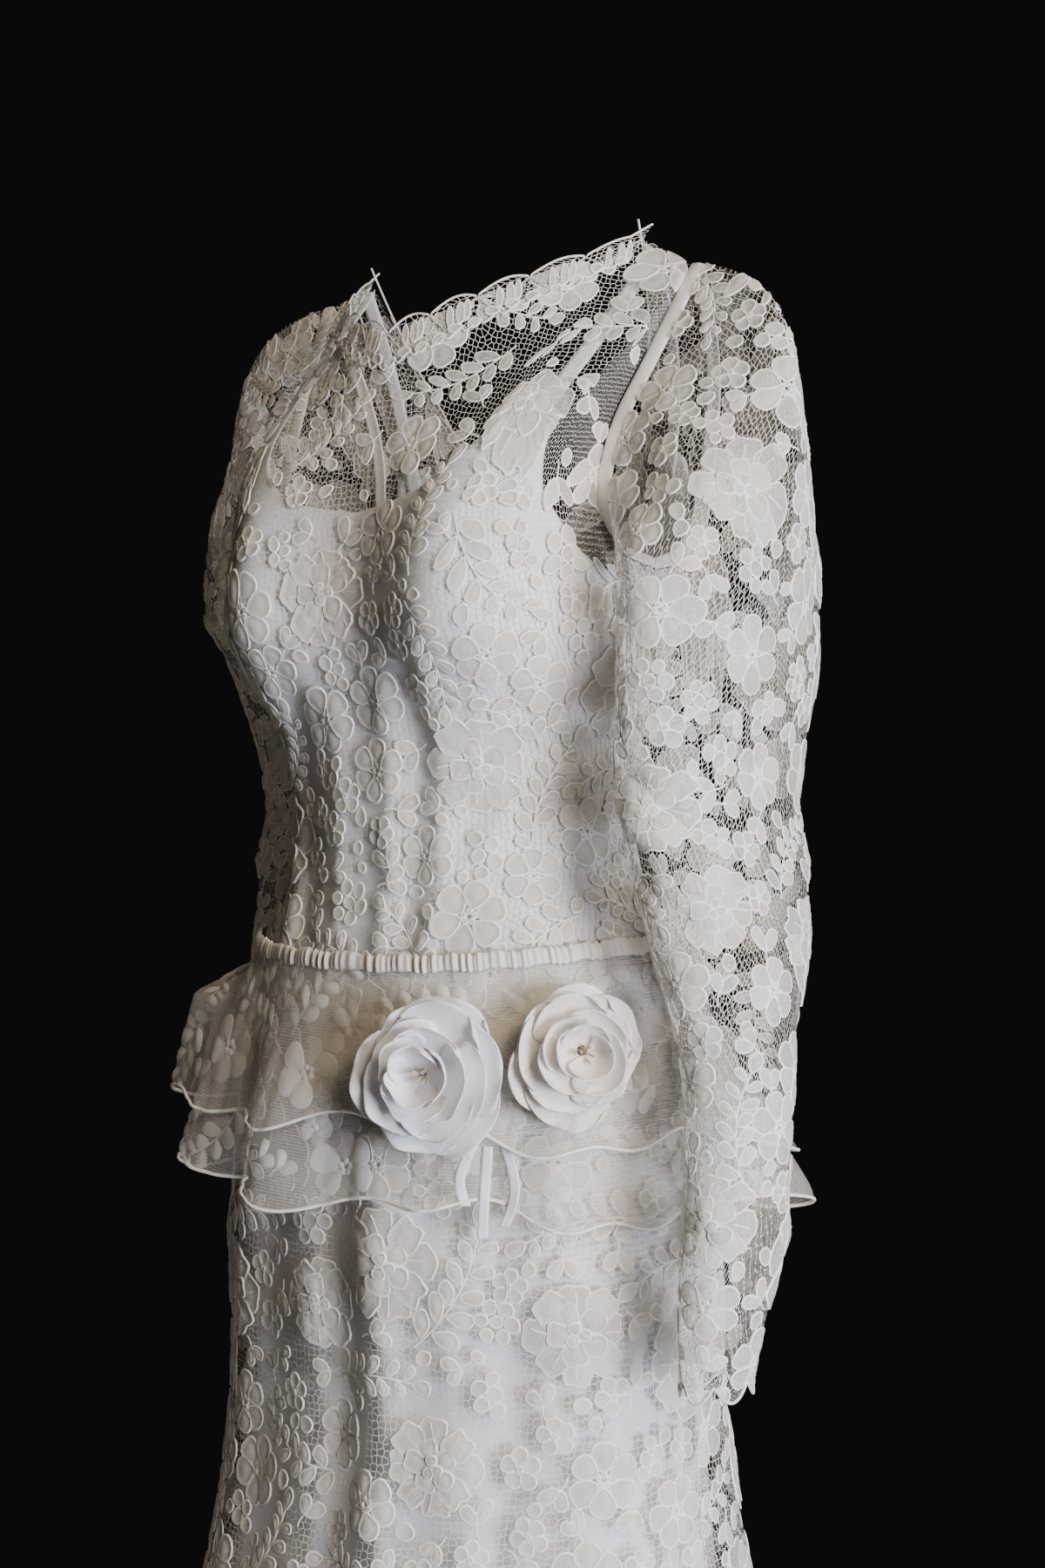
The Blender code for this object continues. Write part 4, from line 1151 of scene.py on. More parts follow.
def skirt_cloth(is_front, lift, slack):
    """A skirt panel's outer face, or its lining's with the slack that grows to the hem."""
    share = np.linspace(0, 1, 110)[:, None]
    turn = np.linspace(0, np.pi, 160)[None]
    angle = turn if is_front else 2 * np.pi - turn
    high = seam_z(angle) - SEAM_GAP / 2
    grid = even(body(angle, high + (HEM_Z + lift - high) * share ** 1.1))
    table = SKIRT_CREASES if is_front else BACK_SKIRT_CREASES
    cloth = Cloth(creased(grid, grid[..., 0], table))
    if slack:
        behind = np.zeros_like(angle) if is_front else np.sin(turn)
        depth = LINING_DEPTH + LINING_SLACK * share ** 1.65 * (1 + behind)
        level = unit(cloth.normal * (1, 1, 0))
        return Cloth(cloth.grid - level * depth[..., None])
    return cloth


def sleeve_grid(side, table, widths, rises):
    """Cap of a sleeve: widths along it at its start, then rises to its last ring."""
    step = np.arange(SLEEVE_SIDES * 4) / 4
    half = SLEEVE_SIDES / 2
    share = np.where(step <= half, step / half, 2 - step / half)
    column = HALF - side * (TIP_COLUMN + (HALF - TIP_COLUMN) * share)
    ahead, behind = upper_edge(column, True), upper_edge(column, False)
    start = np.where((step <= half)[:, None], ahead, behind)
    start[:, 0] = start[:, 0] * side + SLEEVE_START[side]
    end = sleeve_ring(table, table[0][0], 2 * np.pi * step / SLEEVE_SIDES)
    reach = np.linalg.norm(end - start, axis=1)[:, None]
    most, loss, fall = CAP_OUT[side]
    out = unit(np.array([1, 0, fall])) * reach * (most - loss * share[:, None])
    down = np.array([0, 0, -1.0]) * reach
    rows = []
    for width, rise in zip(widths, rises):
        first = np.minimum(width / np.linalg.norm(out, axis=1), 0.4 * width / (BINDING_WIDTH + SEAM_GAP))
        along = first + (1 - first) * rise
        rows.append(hermite(start, out, end, down, along[:, None]))
    return np.array(rows)


def sleeve_ring(table, z, turn):
    """Ring of points round the arm at a height."""
    x, y, wide, deep = (curve(table, z, k) for k in (1, 2, 3, 4))
    return np.stack([x + wide * np.cos(turn), y - deep * np.sin(turn), z + 0 * turn], -1)


def sleeve_cloth(side, table):
    """A sleeve from its cap to its scalloped cuff."""
    rises = np.linspace(0, 1, 34)
    cap = sleeve_grid(side, table, np.full(34, BINDING_WIDTH + SEAM_GAP), rises)
    step = np.arange(SLEEVE_SIDES * 4) / 4
    turn = 2 * np.pi * step / SLEEVE_SIDES
    arm = np.array([sleeve_ring(table, z, turn) for z in np.linspace(table[0][0], table[-1][0], 96)[1:]])
    wave = np.abs(np.sin(np.pi * CUFF_SCALLOPS * (step + 0.5) / SLEEVE_SIDES))
    cuff = []
    for share in (0.25, 0.5, 0.75, 1.0):
        row = arm[-1].copy()
        row[:, 2] -= share * (0.004 + CUFF_SCALLOP * wave)
        cuff.append(row)
    grid = np.concatenate([cap, arm, np.array(cuff)])
    cloth = Cloth(grid, True)
    across = 0.045 * np.broadcast_to(turn, grid.shape[:2])
    table = [(0.045 * a, b, 0.045 * c, d, e, f) for a, b, c, d, e, f in SLEEVE_CREASES]
    shift = creased_shift(grid, across, table)
    shift[:4] = 0.0
    grid = grid + cloth.normal * shift[..., None]
    grid[..., 0] *= side
    return Cloth(grid, True)


def body_normal(angle, z):
    """Level outward normal of the body."""
    along = body(angle + 0.01, z) - body(angle - 0.01, z)
    normal = np.stack([along[..., 1], -along[..., 0], 0 * along[..., 0]], -1)
    place = body(angle, z)
    sign = np.sign(np.sum(normal[..., :2] * place[..., :2], axis=-1))
    return unit(normal) * sign[..., None]


def flounce_out(angle, drop, is_lower):
    """How far the flounces stand off the skirt, by angle and drop."""
    reach = drop / 0.14
    side = np.abs(np.cos(angle)) ** 6
    behind = np.maximum(0.0, -np.sin(angle))
    right = np.maximum(0.0, -np.cos(angle)) * (1 - side)
    flare = 0.013 + 0.026 * behind + 0.016 * right
    wave = 0.0075 + 0.012 * behind + 0.012 * right
    ripple = np.sin(FLUTES * angle + 0.9) + 0.30 * np.sin(7 * angle + 2.2)
    tall = 0.0
    for centre, out, first, full, lower in TALL_FLUTES:
        away = (np.degrees(angle) % 360 - centre) / FLUTE_WIDTH
        grown = np.clip((drop - first) / (full - first), 0, 1)
        tall = tall + out * grown * np.exp(-away * away) * (lower if is_lower else 1.0)
    return (flare * reach + wave * ripple * reach ** 1.2) * (1 - 0.88 * side) + tall


def flounce_point(angle, drop, out, is_lower=False):
    """Point of a flounce by angle, drop and lift."""
    z = seam_z(angle) - drop
    stand = out + np.maximum(flounce_out(angle, drop, is_lower), 0.0)
    return body(angle, z) + body_normal(angle, z) * stand[..., None]


def angle_at(x, z):
    """Angle on the front at a given x."""
    low, high = 0.02, math.pi / 2
    for step in range(40):
        middle = (low + high) / 2
        if body(middle, z)[0] > x:
            low = middle
        else:
            high = middle
    return (low + high) / 2


class DressSettings(bpy.types.PropertyGroup):
    """Colours and measures of the dress."""

    lace_colour: bpy.props.FloatVectorProperty(
        name="Lace colour", description="Colour of the net and petals", size=3, subtype="COLOR",
        default=(0.80, 0.75, 0.68), min=0, max=1)
    cord_colour: bpy.props.FloatVectorProperty(
        name="Cord colour", description="Colour of the cords round the petals", size=3, subtype="COLOR",
        default=(0.90, 0.87, 0.81), min=0, max=1)
    lining_colour: bpy.props.FloatVectorProperty(
        name="Lining colour", description="Colour of the satin lining", size=3, subtype="COLOR",
        default=(0.76, 0.765, 0.785), min=0, max=1)
    net_cell: bpy.props.FloatProperty(
        name="Net cell", description="Width of a cell of the net", unit="LENGTH", default=0.0042, min=0.001)
    net_thread: bpy.props.FloatProperty(
        name="Net thread", description="Width of the net's thread", unit="LENGTH",
        default=0.00044, min=0.0001)
    cord_width: bpy.props.FloatProperty(
        name="Cord half width", description="Half the width of the cords", unit="LENGTH", default=0.0006,
        min=0.0002)
    cord_height: bpy.props.FloatProperty(
        name="Cord height", description="Height of the cords over the lace", unit="LENGTH", default=0.0007,
        min=0.0001)


class FlowerSettings(bpy.types.PropertyGroup):
    """Colours of the fabric flowers."""

    white: bpy.props.FloatVectorProperty(
        name="White silk", description="Colour of the white rose", size=3, subtype="COLOR",
        default=(0.97, 0.95, 0.97), min=0, max=1)
    cream: bpy.props.FloatVectorProperty(
        name="Cream organza", description="Colour of the cream rose", size=3, subtype="COLOR",
        default=(0.97, 0.91, 0.86), min=0, max=1)
    stamen: bpy.props.FloatVectorProperty(
        name="Stamens", description="Colour of the stamens", size=3, subtype="COLOR",
        default=(0.62, 0.50, 0.32), min=0, max=1)


class StageSettings(bpy.types.PropertyGroup):
    """Strengths of the lights and size of the floor."""

    key_power: bpy.props.FloatProperty(
        name="Key light", description="Power of the large light at the front right", subtype="POWER",
        default=150.0, min=0)
    fill_power: bpy.props.FloatProperty(
        name="Fill light", description="Power of the warm light at the left", subtype="POWER",
        default=3.0, min=0)
    top_power: bpy.props.FloatProperty(
        name="Top light", description="Power of the light above", subtype="POWER", default=70.0, min=0)
    back_power: bpy.props.FloatProperty(
        name="Back light", description="Power of the light behind", subtype="POWER", default=45.0, min=0)
    floor_radius: bpy.props.FloatProperty(
        name="Floor radius", description="Radius of the round floor", unit="LENGTH", default=0.9, min=0.1)


class DRESS_OT_lining(bpy.types.Operator):
    """Make the satin lining of the bodice and skirt, and its shoulder straps"""

    bl_idname = "dress.lining"
    bl_label = "Lining"

    def execute(self, context):
        satin = satin_material("satin_lining", context.scene.dress.lining_colour, 0.5)
        cloths = bodice_cloths()
        front = Cloth(cloths["bodice_front"].grid[:LINING_COUNT])
        maker = Maker()
        maker.shell(front, -LINING_DEPTH, LACE_WALL)
        piece = maker.finish("lining_front", [satin], ["lining_bodice_front"])
        maker = Maker()
        halves = [
            cloths["bodice_back_left"].grid[:LINING_COUNT],
            cloths["bodice_back_right"].grid[:LINING_COUNT, 1:],
        ]
        maker.shell(Cloth(np.concatenate(halves, axis=1)), -LINING_DEPTH, LACE_WALL)
        piece = maker.finish("lining_back", [satin], ["lining_bodice_back"])
        for is_front, name in ((True, "skirt_lining_front"), (False, "skirt_lining_back")):
            maker = Maker()
            maker.shell(skirt_cloth(is_front, LINING_LIFT, True), 0.0, LACE_WALL)
            piece = maker.finish(name + "_satin", [satin], [name])
        for name, side in (("lining_strap_left", 1), ("lining_strap_right", -1)):
            self.strap(name, side, satin)
        return {"FINISHED"}

    def strap(self, name, side, satin):
        """One lining strap over the shoulder."""
        first = BODY_ROWS + LINING_ROWS - 0.35
        levels = np.linspace(first, TOP_LEVEL, 36)
        place = STRAP_FOOT + (STRAP_TOP - STRAP_FOOT) * (levels - first) / (TOP_LEVEL - first)
        centre = HALF - side * (NECK_COLUMN + place)
        path = []
        for is_front in (True, False):
            spot = surface(levels, centre, is_front)
            beside = surface(levels, centre + 0.05, is_front) - surface(levels, centre - 0.05, is_front)
            up = np.gradient(spot, axis=0)
            normal = unit(np.cross(beside, up))
            if normal[0, 1] * (1 if is_front else -1) > 0:
                normal = -normal
            cell = np.linalg.norm(beside, axis=1) / 0.1
            offset = np.linspace(-0.5, 0.5, 5)[None] * (STRAP_WIDTH / cell)[:, None]
            rows = surface(levels[:, None], centre[:, None] + offset, is_front)
            rows = rows - normal[:, None] * STRAP_DEPTH
            path.append(rows)
        front, back = path
        over = (front[-1:] + back[-1:]) / 2
        strip = np.concatenate([front[:-1], over, back[:-1][::-1]])
        cloth = Cloth(strip)
        if cloth.normal[0, 2, 1] > 0:
            cloth.normal, cloth.flipped = -cloth.normal, not cloth.flipped
        maker = Maker()
        maker.shell(cloth, 0.0, 0.0009)
        piece = maker.finish(name + "_satin", [satin], [name])


class DRESS_OT_bodice(bpy.types.Operator):
    """Make the lace panels of the bodice with their motifs"""

    bl_idname = "dress.bodice"
    bl_label = "Lace bodice"

    def execute(self, context):
        settings = context.scene.dress
        materials = lace_materials(settings)
        for seed, (name, cloth) in enumerate(bodice_cloths().items(), 11):
            add_lace(name, cloth, materials, settings, PLAN_BODY, seed)
        return {"FINISHED"}


class DRESS_OT_sleeves(bpy.types.Operator):
    """Make the lace sleeves with their scalloped cuffs and the bound armhole seams"""

    bl_idname = "dress.sleeves"
    bl_label = "Sleeves"

    def execute(self, context):
        settings = context.scene.dress
        materials = lace_materials(settings)
        tape = satin_material("armhole_tape", settings.cord_colour, 0.6)
        arms = (("left", SLEEVE_LEFT, 1), ("right", SLEEVE_RIGHT, -1))
        for seed, (name, table, side) in enumerate(arms, 21):
            cloth = sleeve_cloth(side, table)
            widths = np.linspace(0, BINDING_WIDTH, 7)
            band = sleeve_grid(side, table, widths, np.zeros(7))
            band[..., 0] *= side
            ring = Cloth(band, True)
            if ring.normal[3, 0, 2] < 0:
                ring.normal, ring.flipped = -ring.normal, not ring.flipped
            swell = 0.0007 * np.sin(np.linspace(0, np.pi, 7))
            ring.grid = ring.grid + ring.normal * swell[:, None, None]
            maker = Maker()
            maker.shell(ring, 0.0, LACE_WALL)
            bound = maker.finish("armhole_tape_" + name, [tape], ["armhole_binding_" + name])
            add_lace(
                "sleeve_" + name, cloth, materials, settings, PLAN_SLEEVE, seed, True
            )
        return {"FINISHED"}


def add_lace(name, cloth, materials, settings, plan, seed, edge=False):
    """A net sheet and the motifs on it, with a cord along its last row when it is a scalloped edge."""
    maker = Maker()
    maker.sheet(cloth)
    piece = maker.finish(name + "_net", [materials[0]], [name])
    laid = Maker()
    plans = [(plan, (0, None))]
    if plan is PLAN_BODY:
        plans = [(plan, (0, LINING_COUNT - 6)), (PLAN_YOKE, (LINING_COUNT, None))]
    cord = (settings.cord_width, settings.cord_height)
    lay_motifs(laid, cloth, plans, PLACED.get(name, ()), seed, 0.0002, *cord, (2, 1))
    if edge:
        laid.tube(cloth.grid[-1], cloth.normal[-1], 0.0009, 2, cloth.ring)
    motifs = laid.finish(name + "_motifs", materials, [])
    return piece


class DRESS_OT_skirt(bpy.types.Operator):
    """Make the lace skirt panels with their motifs"""

    bl_idname = "dress.skirt"
    bl_label = "Lace skirt"

    def execute(self, context):
        settings = context.scene.dress
        materials = lace_materials(settings)
        for seed, is_front in enumerate((True, False), 31):
            name = "skirt_front" if is_front else "skirt_back"
            cloth = skirt_cloth(is_front, 0.0, False)
            add_lace(name, cloth, materials, settings, PLAN_SKIRT, seed, True)
        return {"FINISHED"}


class DRESS_OT_border(bpy.types.Operator):
    """Make the scalloped edging along the neckline"""

    bl_idname = "dress.border"
    bl_label = "Neck border"

    def execute(self, context):
        settings = context.scene.dress
        materials = lace_materials(settings)
        for is_front, name in ((True, "neck_border_front"), (False, "neck_border_back")):
            place = np.linspace(0, 1, BORDER_FINE)
            column = HALF - NECK_COLUMN + 2 * NECK_COLUMN * place
            top = straight(LINING_TOP, np.abs(column - HALF) / HALF)
            edge = yoke(column, 1.0, is_front)
            row = (1 - top) / YOKE_ROWS
            below = yoke(column, 1 - row, is_front)
            reach = np.linalg.norm(edge - below, axis=1)
            depth = np.minimum(BORDER_DEPTH / reach, 0.95) * row
            lean = unit(edge - below)
            wave = np.abs(np.sin(np.pi * BORDER_SCALLOPS * place))
            tip = BORDER_TIP * np.maximum(0.0, 1 - np.minimum(place, 1 - place) / 0.03)
            rise = lean * (BORDER_SCALLOP * wave + tip)[:, None]
            rows = [yoke(column, 1 - depth * share, is_front) for share in np.linspace(1, 0, 9)]
            rows += [edge + rise * share for share in (0.33, 0.66, 1.0)]
            cloth = Cloth(np.array(rows))
            if cloth.normal[4, 120, 1] * (1 if is_front else -1) > 0:
                cloth.normal, cloth.flipped = -cloth.normal, not cloth.flipped
            cloth.grid = cloth.moved(LAID_GAP + LACE_WALL)
            maker = Maker()
            maker.sheet(cloth)
            piece = maker.finish(name + "_net", [materials[0]], [name])
            trim = Maker()
            trim.tube(cloth.moved(0.0004)[-1], cloth.normal[-1], 0.0007, 2)
            sway = 0.0022 * np.sin(place * 2 * np.pi * BORDER_LEAVES) / 0.0034
            where = np.stack([np.clip(1.0 + sway, 0, 10), np.arange(float(BORDER_FINE))], -1)
            points, normals = cloth.at(where)
            trim.tube(points + normals * 0.0005, normals, 0.0007, 2)
            for phase, swing in ((0.0, 1), (0.5, -1)):
                zig = 5.2 + 2.6 * swing * (2 * np.abs(2 * ((place * BORDER_SCALLOPS + phase) % 1) - 1) - 1)
                points, normals = cloth.at(np.stack([zig, np.arange(float(BORDER_FINE))], -1))
                trim.tube(points + normals * 0.0004, normals, 0.00045, 2, sides=5)
            wild = random.Random(41 + is_front)
            for number in range(BORDER_LEAVES):
                spot = (number + 0.5) / BORDER_LEAVES * (BORDER_FINE - 1)
                matrix = cloth.frame(2, spot)
                shape = leaf(-0.0045, 0.0, wild.uniform(-0.5, 0.5), 0.009, 0.006, 0.4, 0.04, 3, 0.0, 10)
                parts = petal_mesh(shape, 0.0003, 0.0006, 0.0006, 0.0008)
                add_flat(trim, cloth, parts, matrix, (1.9, spot), 0.0002, (2, 1), wild.random())
            for number in range(BORDER_SCALLOPS):
                for share, size in ((0.32, 0.007), (0.5, 0.009), (0.68, 0.007)):
                    spot = (number + share) / BORDER_SCALLOPS * (BORDER_FINE - 1)
                    matrix = cloth.frame(9, spot)
                    shape = leaf(-size / 2, 0.0, 1.57, size, size * 0.6, 0.3, 0.0, 3, 0.0, 10)
                    parts = petal_mesh(shape, 0.0002, 0.0005, 0.0005, 0.0006)
                    add_flat(trim, cloth, parts, matrix, (8.2, spot), 0.0002, (2, 1), 0.6)
            trims = trim.finish(name + "_cords", materials, [])
        return {"FINISHED"}


class DRESS_OT_peplum(bpy.types.Operator):
    """Make the two fluted flounces and their gathered heading"""

    bl_idname = "dress.peplum"
    bl_label = "Peplum"

    def execute(self, context):
        settings = context.scene.dress
        materials = flounce_materials(settings)
        rolled = satin_material("rolled_edge", settings.cord_colour, 0.4)
        angle = 2 * np.pi * np.arange(FLOUNCE_FINE)[None] / FLOUNCE_FINE
        for seed, (name, hems, out) in enumerate((
            ("peplum_lower", LOWER_HEM, FLOUNCE_TOP_OUT),
            ("peplum_upper", UPPER_HEM, FLOUNCE_TOP_OUT + UPPER_OUT),
        ), 51):
            is_lower = name == "peplum_lower"
            share = np.linspace(0, 1, 30)[:, None]
            hem = hems[0] + (hems[1] - hems[0]) * (0.5 - 0.5 * np.sin(angle))
            for waves, phase, height in HEM_SWAY:
                hem = hem + height * np.sin(waves * angle + phase + (1.1 if is_lower else 0.0))
            drop = (seam_z(angle) - hem) * share
            spread = 0.0 if is_lower else UPPER_SPREAD
            stand = out + spread * share + LACE_WALL + 0 * angle
            ripple = 0.0008 * np.sin(31 * angle + seed) + 0.0006 * np.sin(47 * angle + 2 * seed)
            grid = flounce_point(angle, drop, stand + np.abs(ripple) * share, is_lower)
            cloth = Cloth(grid, True)
            maker = Maker()
            maker.sheet(cloth)
            piece = maker.finish(name + "_net", [materials[0]], [name])
            laid = Maker()
            lay_motifs(laid, cloth, [(PLAN_FLOUNCE, (0, None))], (), seed, 0.0001, 0.0007, 0.0002, (1, 1))
            laid.tube(cloth.grid[-1], cloth.normal[-1], 0.0011, 2, True)
            motifs = laid.finish(name + "_motifs", [*materials, rolled], [])
        angle = 2 * np.pi * np.arange(HEADING_FINE)[None] / HEADING_FINE
        height = np.array([0.0070, 0.0064, 0.0048, 0.0025, 0.0002, -0.0022, -0.0034])[:, None]
        swell = np.array([0.0, 0.55, 0.95, 1.0, 0.9, 0.5, 0.0])[:, None]
        frill = np.sin(90 * angle + 4 * np.sin(11 * angle) + 3 * np.sin(29 * angle + 1))
        fine = np.sin(211 * angle + 2 * np.sin(31 * angle))
        z = seam_z(angle) + height * (1 + 0.12 * frill) + 0.0006 * np.sin(29 * angle)
        stand = RUCHE_OUT - 0.0014 + 0.0012 * swell + (0.0008 * frill + 0.0005 * fine) * (0.4 + 0.6 * swell)
        grid = body(angle, z) + body_normal(angle, z) * stand[..., None]
        maker = Maker()
        maker.shell(Cloth(grid, True), 0.0, 0.0006)
        gathered = satin_material("gathered_net", darker(settings.lace_colour, 0.92), 0.8)
        piece = maker.finish("waist_heading", [gathered], ["waist_ruching"])
        return {"FINISHED"}


class DRESS_OT_roses(bpy.types.Operator):
    """Make the white and the cream fabric rose"""

    bl_idname = "dress.roses"
    bl_label = "Roses"

    def execute(self, context):
        flowers = context.scene.dress_flowers
        stamen = satin_material("stamen", flowers.stamen, 0.6)
        # The second colour of each rose, darker than its silk, is painted shade laid on the petals' bases
        # deep in the heart.
        for name, place, colour, tip, alpha, lift_off, lean, seed in (
            ("rose_white", ROSE_WHITE, flowers.white, (0.88, 0.87, 0.89), 1.0,
             ROSE_LIFT["white"], (-0.0016, 0.0006), 61),
            ("rose_cream", ROSE_CREAM, flowers.cream, (0.86, 0.80, 0.72), 0.93,
             ROSE_LIFT["cream"], (0.0014, 0.0010), 64),
        ):
            silk = silk_material(name + "_silk", colour, alpha, tip)
            x, z, radius = place
            angle = angle_at(x, z)
            facing = body_normal(angle, z)
            side = unit(np.cross([0, 0, 1.0], facing))
            up = np.array([0, 0, 1.0])
            centre = flounce_point(angle, seam_z(angle) - z, np.array(0.0)) + facing * lift_off
            wild = random.Random(seed)
            rings = (
                ("outer", 6, radius * 1.08, 1.35, 0.0, 0.011, 0.004),
                ("middle", 5, radius * 0.92, 1.30, 0.0030, 0.014, 0.004),
                ("inner", 4, radius * 0.68, 1.30, 0.0060, 0.017, 0.002),
                ("bud", 3, radius * 0.42, 1.30, 0.0090, 0.015, -0.001),
            )
            for step, (ring, petals, reach, wide, lift, rim, curl) in enumerate(rings):
                maker = Maker()
                heart = centre + (side * lean[0] + up * lean[1]) * step
                for number in range(petals):
                    turn = 2 * math.pi * (number + wild.uniform(-0.16, 0.16)) / petals + reach * 90
                    self.petal(
                        maker, heart, (side, up, facing), turn, reach * wild.uniform(0.86, 1.06),
                        wide * math.pi / petals * 1.25, lift + 0.0009 * (number % 3),
                        rim * wild.uniform(0.8, 1.15), curl, wild,
                    )
                if ring == "bud":
                    self.stamens(maker, heart, (side, up, facing), radius, wild)
                node = f"{name}_{ring}"
                maker.finish(node + "_petals", [silk, stamen], [node])
        return {"FINISHED"}

    def petal(self, maker, centre, axes, turn, reach, half, lift, rim, curl, wild):
        """One cupped petal with a waved, turned-back edge."""
        side, up, facing = axes
        u = np.linspace(-1, 1, 15)[None]
        v = np.linspace(0, 1, 12)[:, None]
        phase = wild.uniform(0, 6)
        spread = half * np.sin(np.pi * (0.22 + 0.60 * v)) ** 0.7
        tip = 1 - 0.12 * np.abs(u) ** 3 + 0.035 * np.cos(3 * u + phase)
        run = 0.003 + (reach - 0.003) * np.sin(v * np.pi / 2) ** 0.9 * tip
        around = turn + spread * u
        height = lift + rim * v ** 1.6 - curl * v ** 6 - 0.0016 * u ** 2 * v
        ruffle = 0.0022 * np.sin(3 * u * np.pi / 2 + phase) * v ** 2
        ruffle = ruffle + 0.0012 * np.cos(7 * u + phase) * v ** 3
        height = height + ruffle
        points = (
            centre
            + side * (run * np.cos(around))[..., None]
            + up * (run * np.sin(around))[..., None]
            + facing * height[..., None]
        )
        cloth = Cloth(points)
        if np.sum(cloth.normal[0, 7] * facing) < 0:
            cloth.normal, cloth.flipped = -cloth.normal, not cloth.flipped
        start = len(maker.tones)
        maker.shell(cloth, 0.0, 0.0005)
        # Painted shade: the tone runs from 0.15 at each petal's base to 1 at its rim, so the silk darkens
        # deep in the heart.
        shade = np.broadcast_to(0.15 + 0.85 * v, cloth.grid.shape[:2]).reshape(-1)
        maker.tones[start] = np.concatenate([shade, shade])

    def stamens(self, maker, centre, axes, radius, wild):
        """Fine stamens in the heart of a rose."""
        side, up, facing = axes
        for number in range(8):
            around = wild.uniform(0, 2 * math.pi)
            lean = wild.uniform(0.1, 0.55)
            heading = unit(side * math.cos(around) * lean + up * math.sin(around) * lean + facing)
            length = radius * wild.uniform(0.34, 0.50)
            run = np.linspace(0.0, length, 5)[:, None]
            path = centre + facing * 0.003 + heading * run
            width = np.array([0.0003, 0.0003, 0.0004, 0.0009, 0.0005])
            maker.tube(path, np.broadcast_to(side, path.shape), width, 1, sides=5)


class DRESS_OT_ribbons(bpy.types.Operator):
    """Make the narrow ribbon ends below the roses"""

    bl_idname = "dress.ribbons"
    bl_label = "Ribbons"

    def execute(self, context):
        satin = satin_material("ribbon_satin", context.scene.dress.lining_colour, 0.35, 0.5)
        for number, (x, sway, high, low) in enumerate(RIBBONS, 1):
            rows = []
            for share in np.linspace(0, 1, 36):
                z = high + (low - high) * share
                place = x + sway * math.sin(share * math.pi * 0.9)
                row = []
                for edge in np.linspace(-0.5, 0.5, 5):
                    angle = angle_at(place + edge * RIBBON_WIDTH, z)
                    stand = RIBBON_OUT + 0.0006 * math.sin(share * 9 + number) * (1 + edge)
                    row.append(flounce_point(np.array(angle), np.array(seam_z(angle) - z), np.array(stand)))
                rows.append(row)
            cloth = Cloth(np.array(rows))
            if cloth.normal[0, 0, 1] > 0:
                cloth.normal, cloth.flipped = -cloth.normal, not cloth.flipped
            maker = Maker()
            maker.shell(cloth, 0.0, 0.0006)
            maker.finish(f"ribbon_satin_{number}", [satin], [f"ribbon_{number}"])
        return {"FINISHED"}


class DRESS_OT_buttons(bpy.types.Operator):
    """Model one covered button and set its copies down the centre back"""

    bl_idname = "dress.buttons"
    bl_label = "Buttons"

    def execute(self, context):
        cover = satin_material("button_cover", context.scene.dress.cord_colour, 0.45)
        bpy.ops.object.select_all(action="DESELECT")
        bpy.ops.mesh.primitive_cylinder_add(vertices=24, radius=BUTTON_RADIUS, depth=BUTTON_HEIGHT)
        first = context.active_object
        bpy.ops.object.mode_set(mode="EDIT")
        bpy.ops.mesh.select_all(action="DESELECT")
        bpy.ops.object.mode_set(mode="OBJECT")
        for face in first.data.polygons:
            face.select = face.normal.z > 0.9
        bpy.ops.object.mode_set(mode="EDIT")
        bpy.ops.mesh.select_mode(type="FACE")
        for inset, sink in ((0.0016, 0.0), (0.0018, 0.0004)):
            bpy.ops.mesh.inset(thickness=inset)
            bpy.ops.transform.translate(value=(0, 0, sink))
        bpy.ops.object.mode_set(mode="OBJECT")
        for edge in first.data.edges:
            a, b = (first.data.vertices[v].co for v in edge.vertices)
            nearer = min(math.hypot(a.x, a.y), math.hypot(b.x, b.y))
            rim = nearer > BUTTON_RADIUS * 0.95
            edge.select = rim and abs(a.z - b.z) < 1e-6
        for face in first.data.polygons:
            face.select = False
        bpy.ops.object.mode_set(mode="EDIT")
        bpy.ops.mesh.select_mode(type="EDGE")
        bpy.ops.mesh.bevel(offset=0.0013, segments=3)
        bpy.ops.object.mode_set(mode="OBJECT")
        bpy.ops.object.shade_smooth_by_angle(angle=math.radians(40))
        first.data.materials.append(cover)
        levels = np.linspace(0, TOP_LEVEL, 400)
        middle = surface(levels, HALF, False)
        for number in range(BUTTONS):
            z = BUTTON_TOP_Z - BUTTON_STEP * number
            level = float(np.interp(z, middle[:, 2], levels))
            column = HALF - 0.28
            spot = surface(level, column, False)
            across = surface(level, column + 0.1, False) - surface(level, column - 0.1, False)
            up = surface(level + 0.05, column, False) - surface(level - 0.05, column, False)
            facing = unit(np.cross(across, up))
            if facing[1] < 0:
                facing = -facing
            piece = first
            if number:
                piece = first.copy()
                piece.data = flat_mesh.copy()
                context.scene.collection.objects.link(piece)
            else:
                flat_mesh = first.data.copy()
            turn = Vector(facing).to_track_quat("Z", "Y").to_matrix().to_4x4()
            place = Vector(spot + facing * (LAID_GAP + BUTTON_HEIGHT / 2))
            piece.data.transform(Matrix.Translation(place) @ turn)
            piece.name = f"covered_button_{number + 1}"
            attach(piece, "root")
            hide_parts(f"button_{number + 1}")
        return {"FINISHED"}


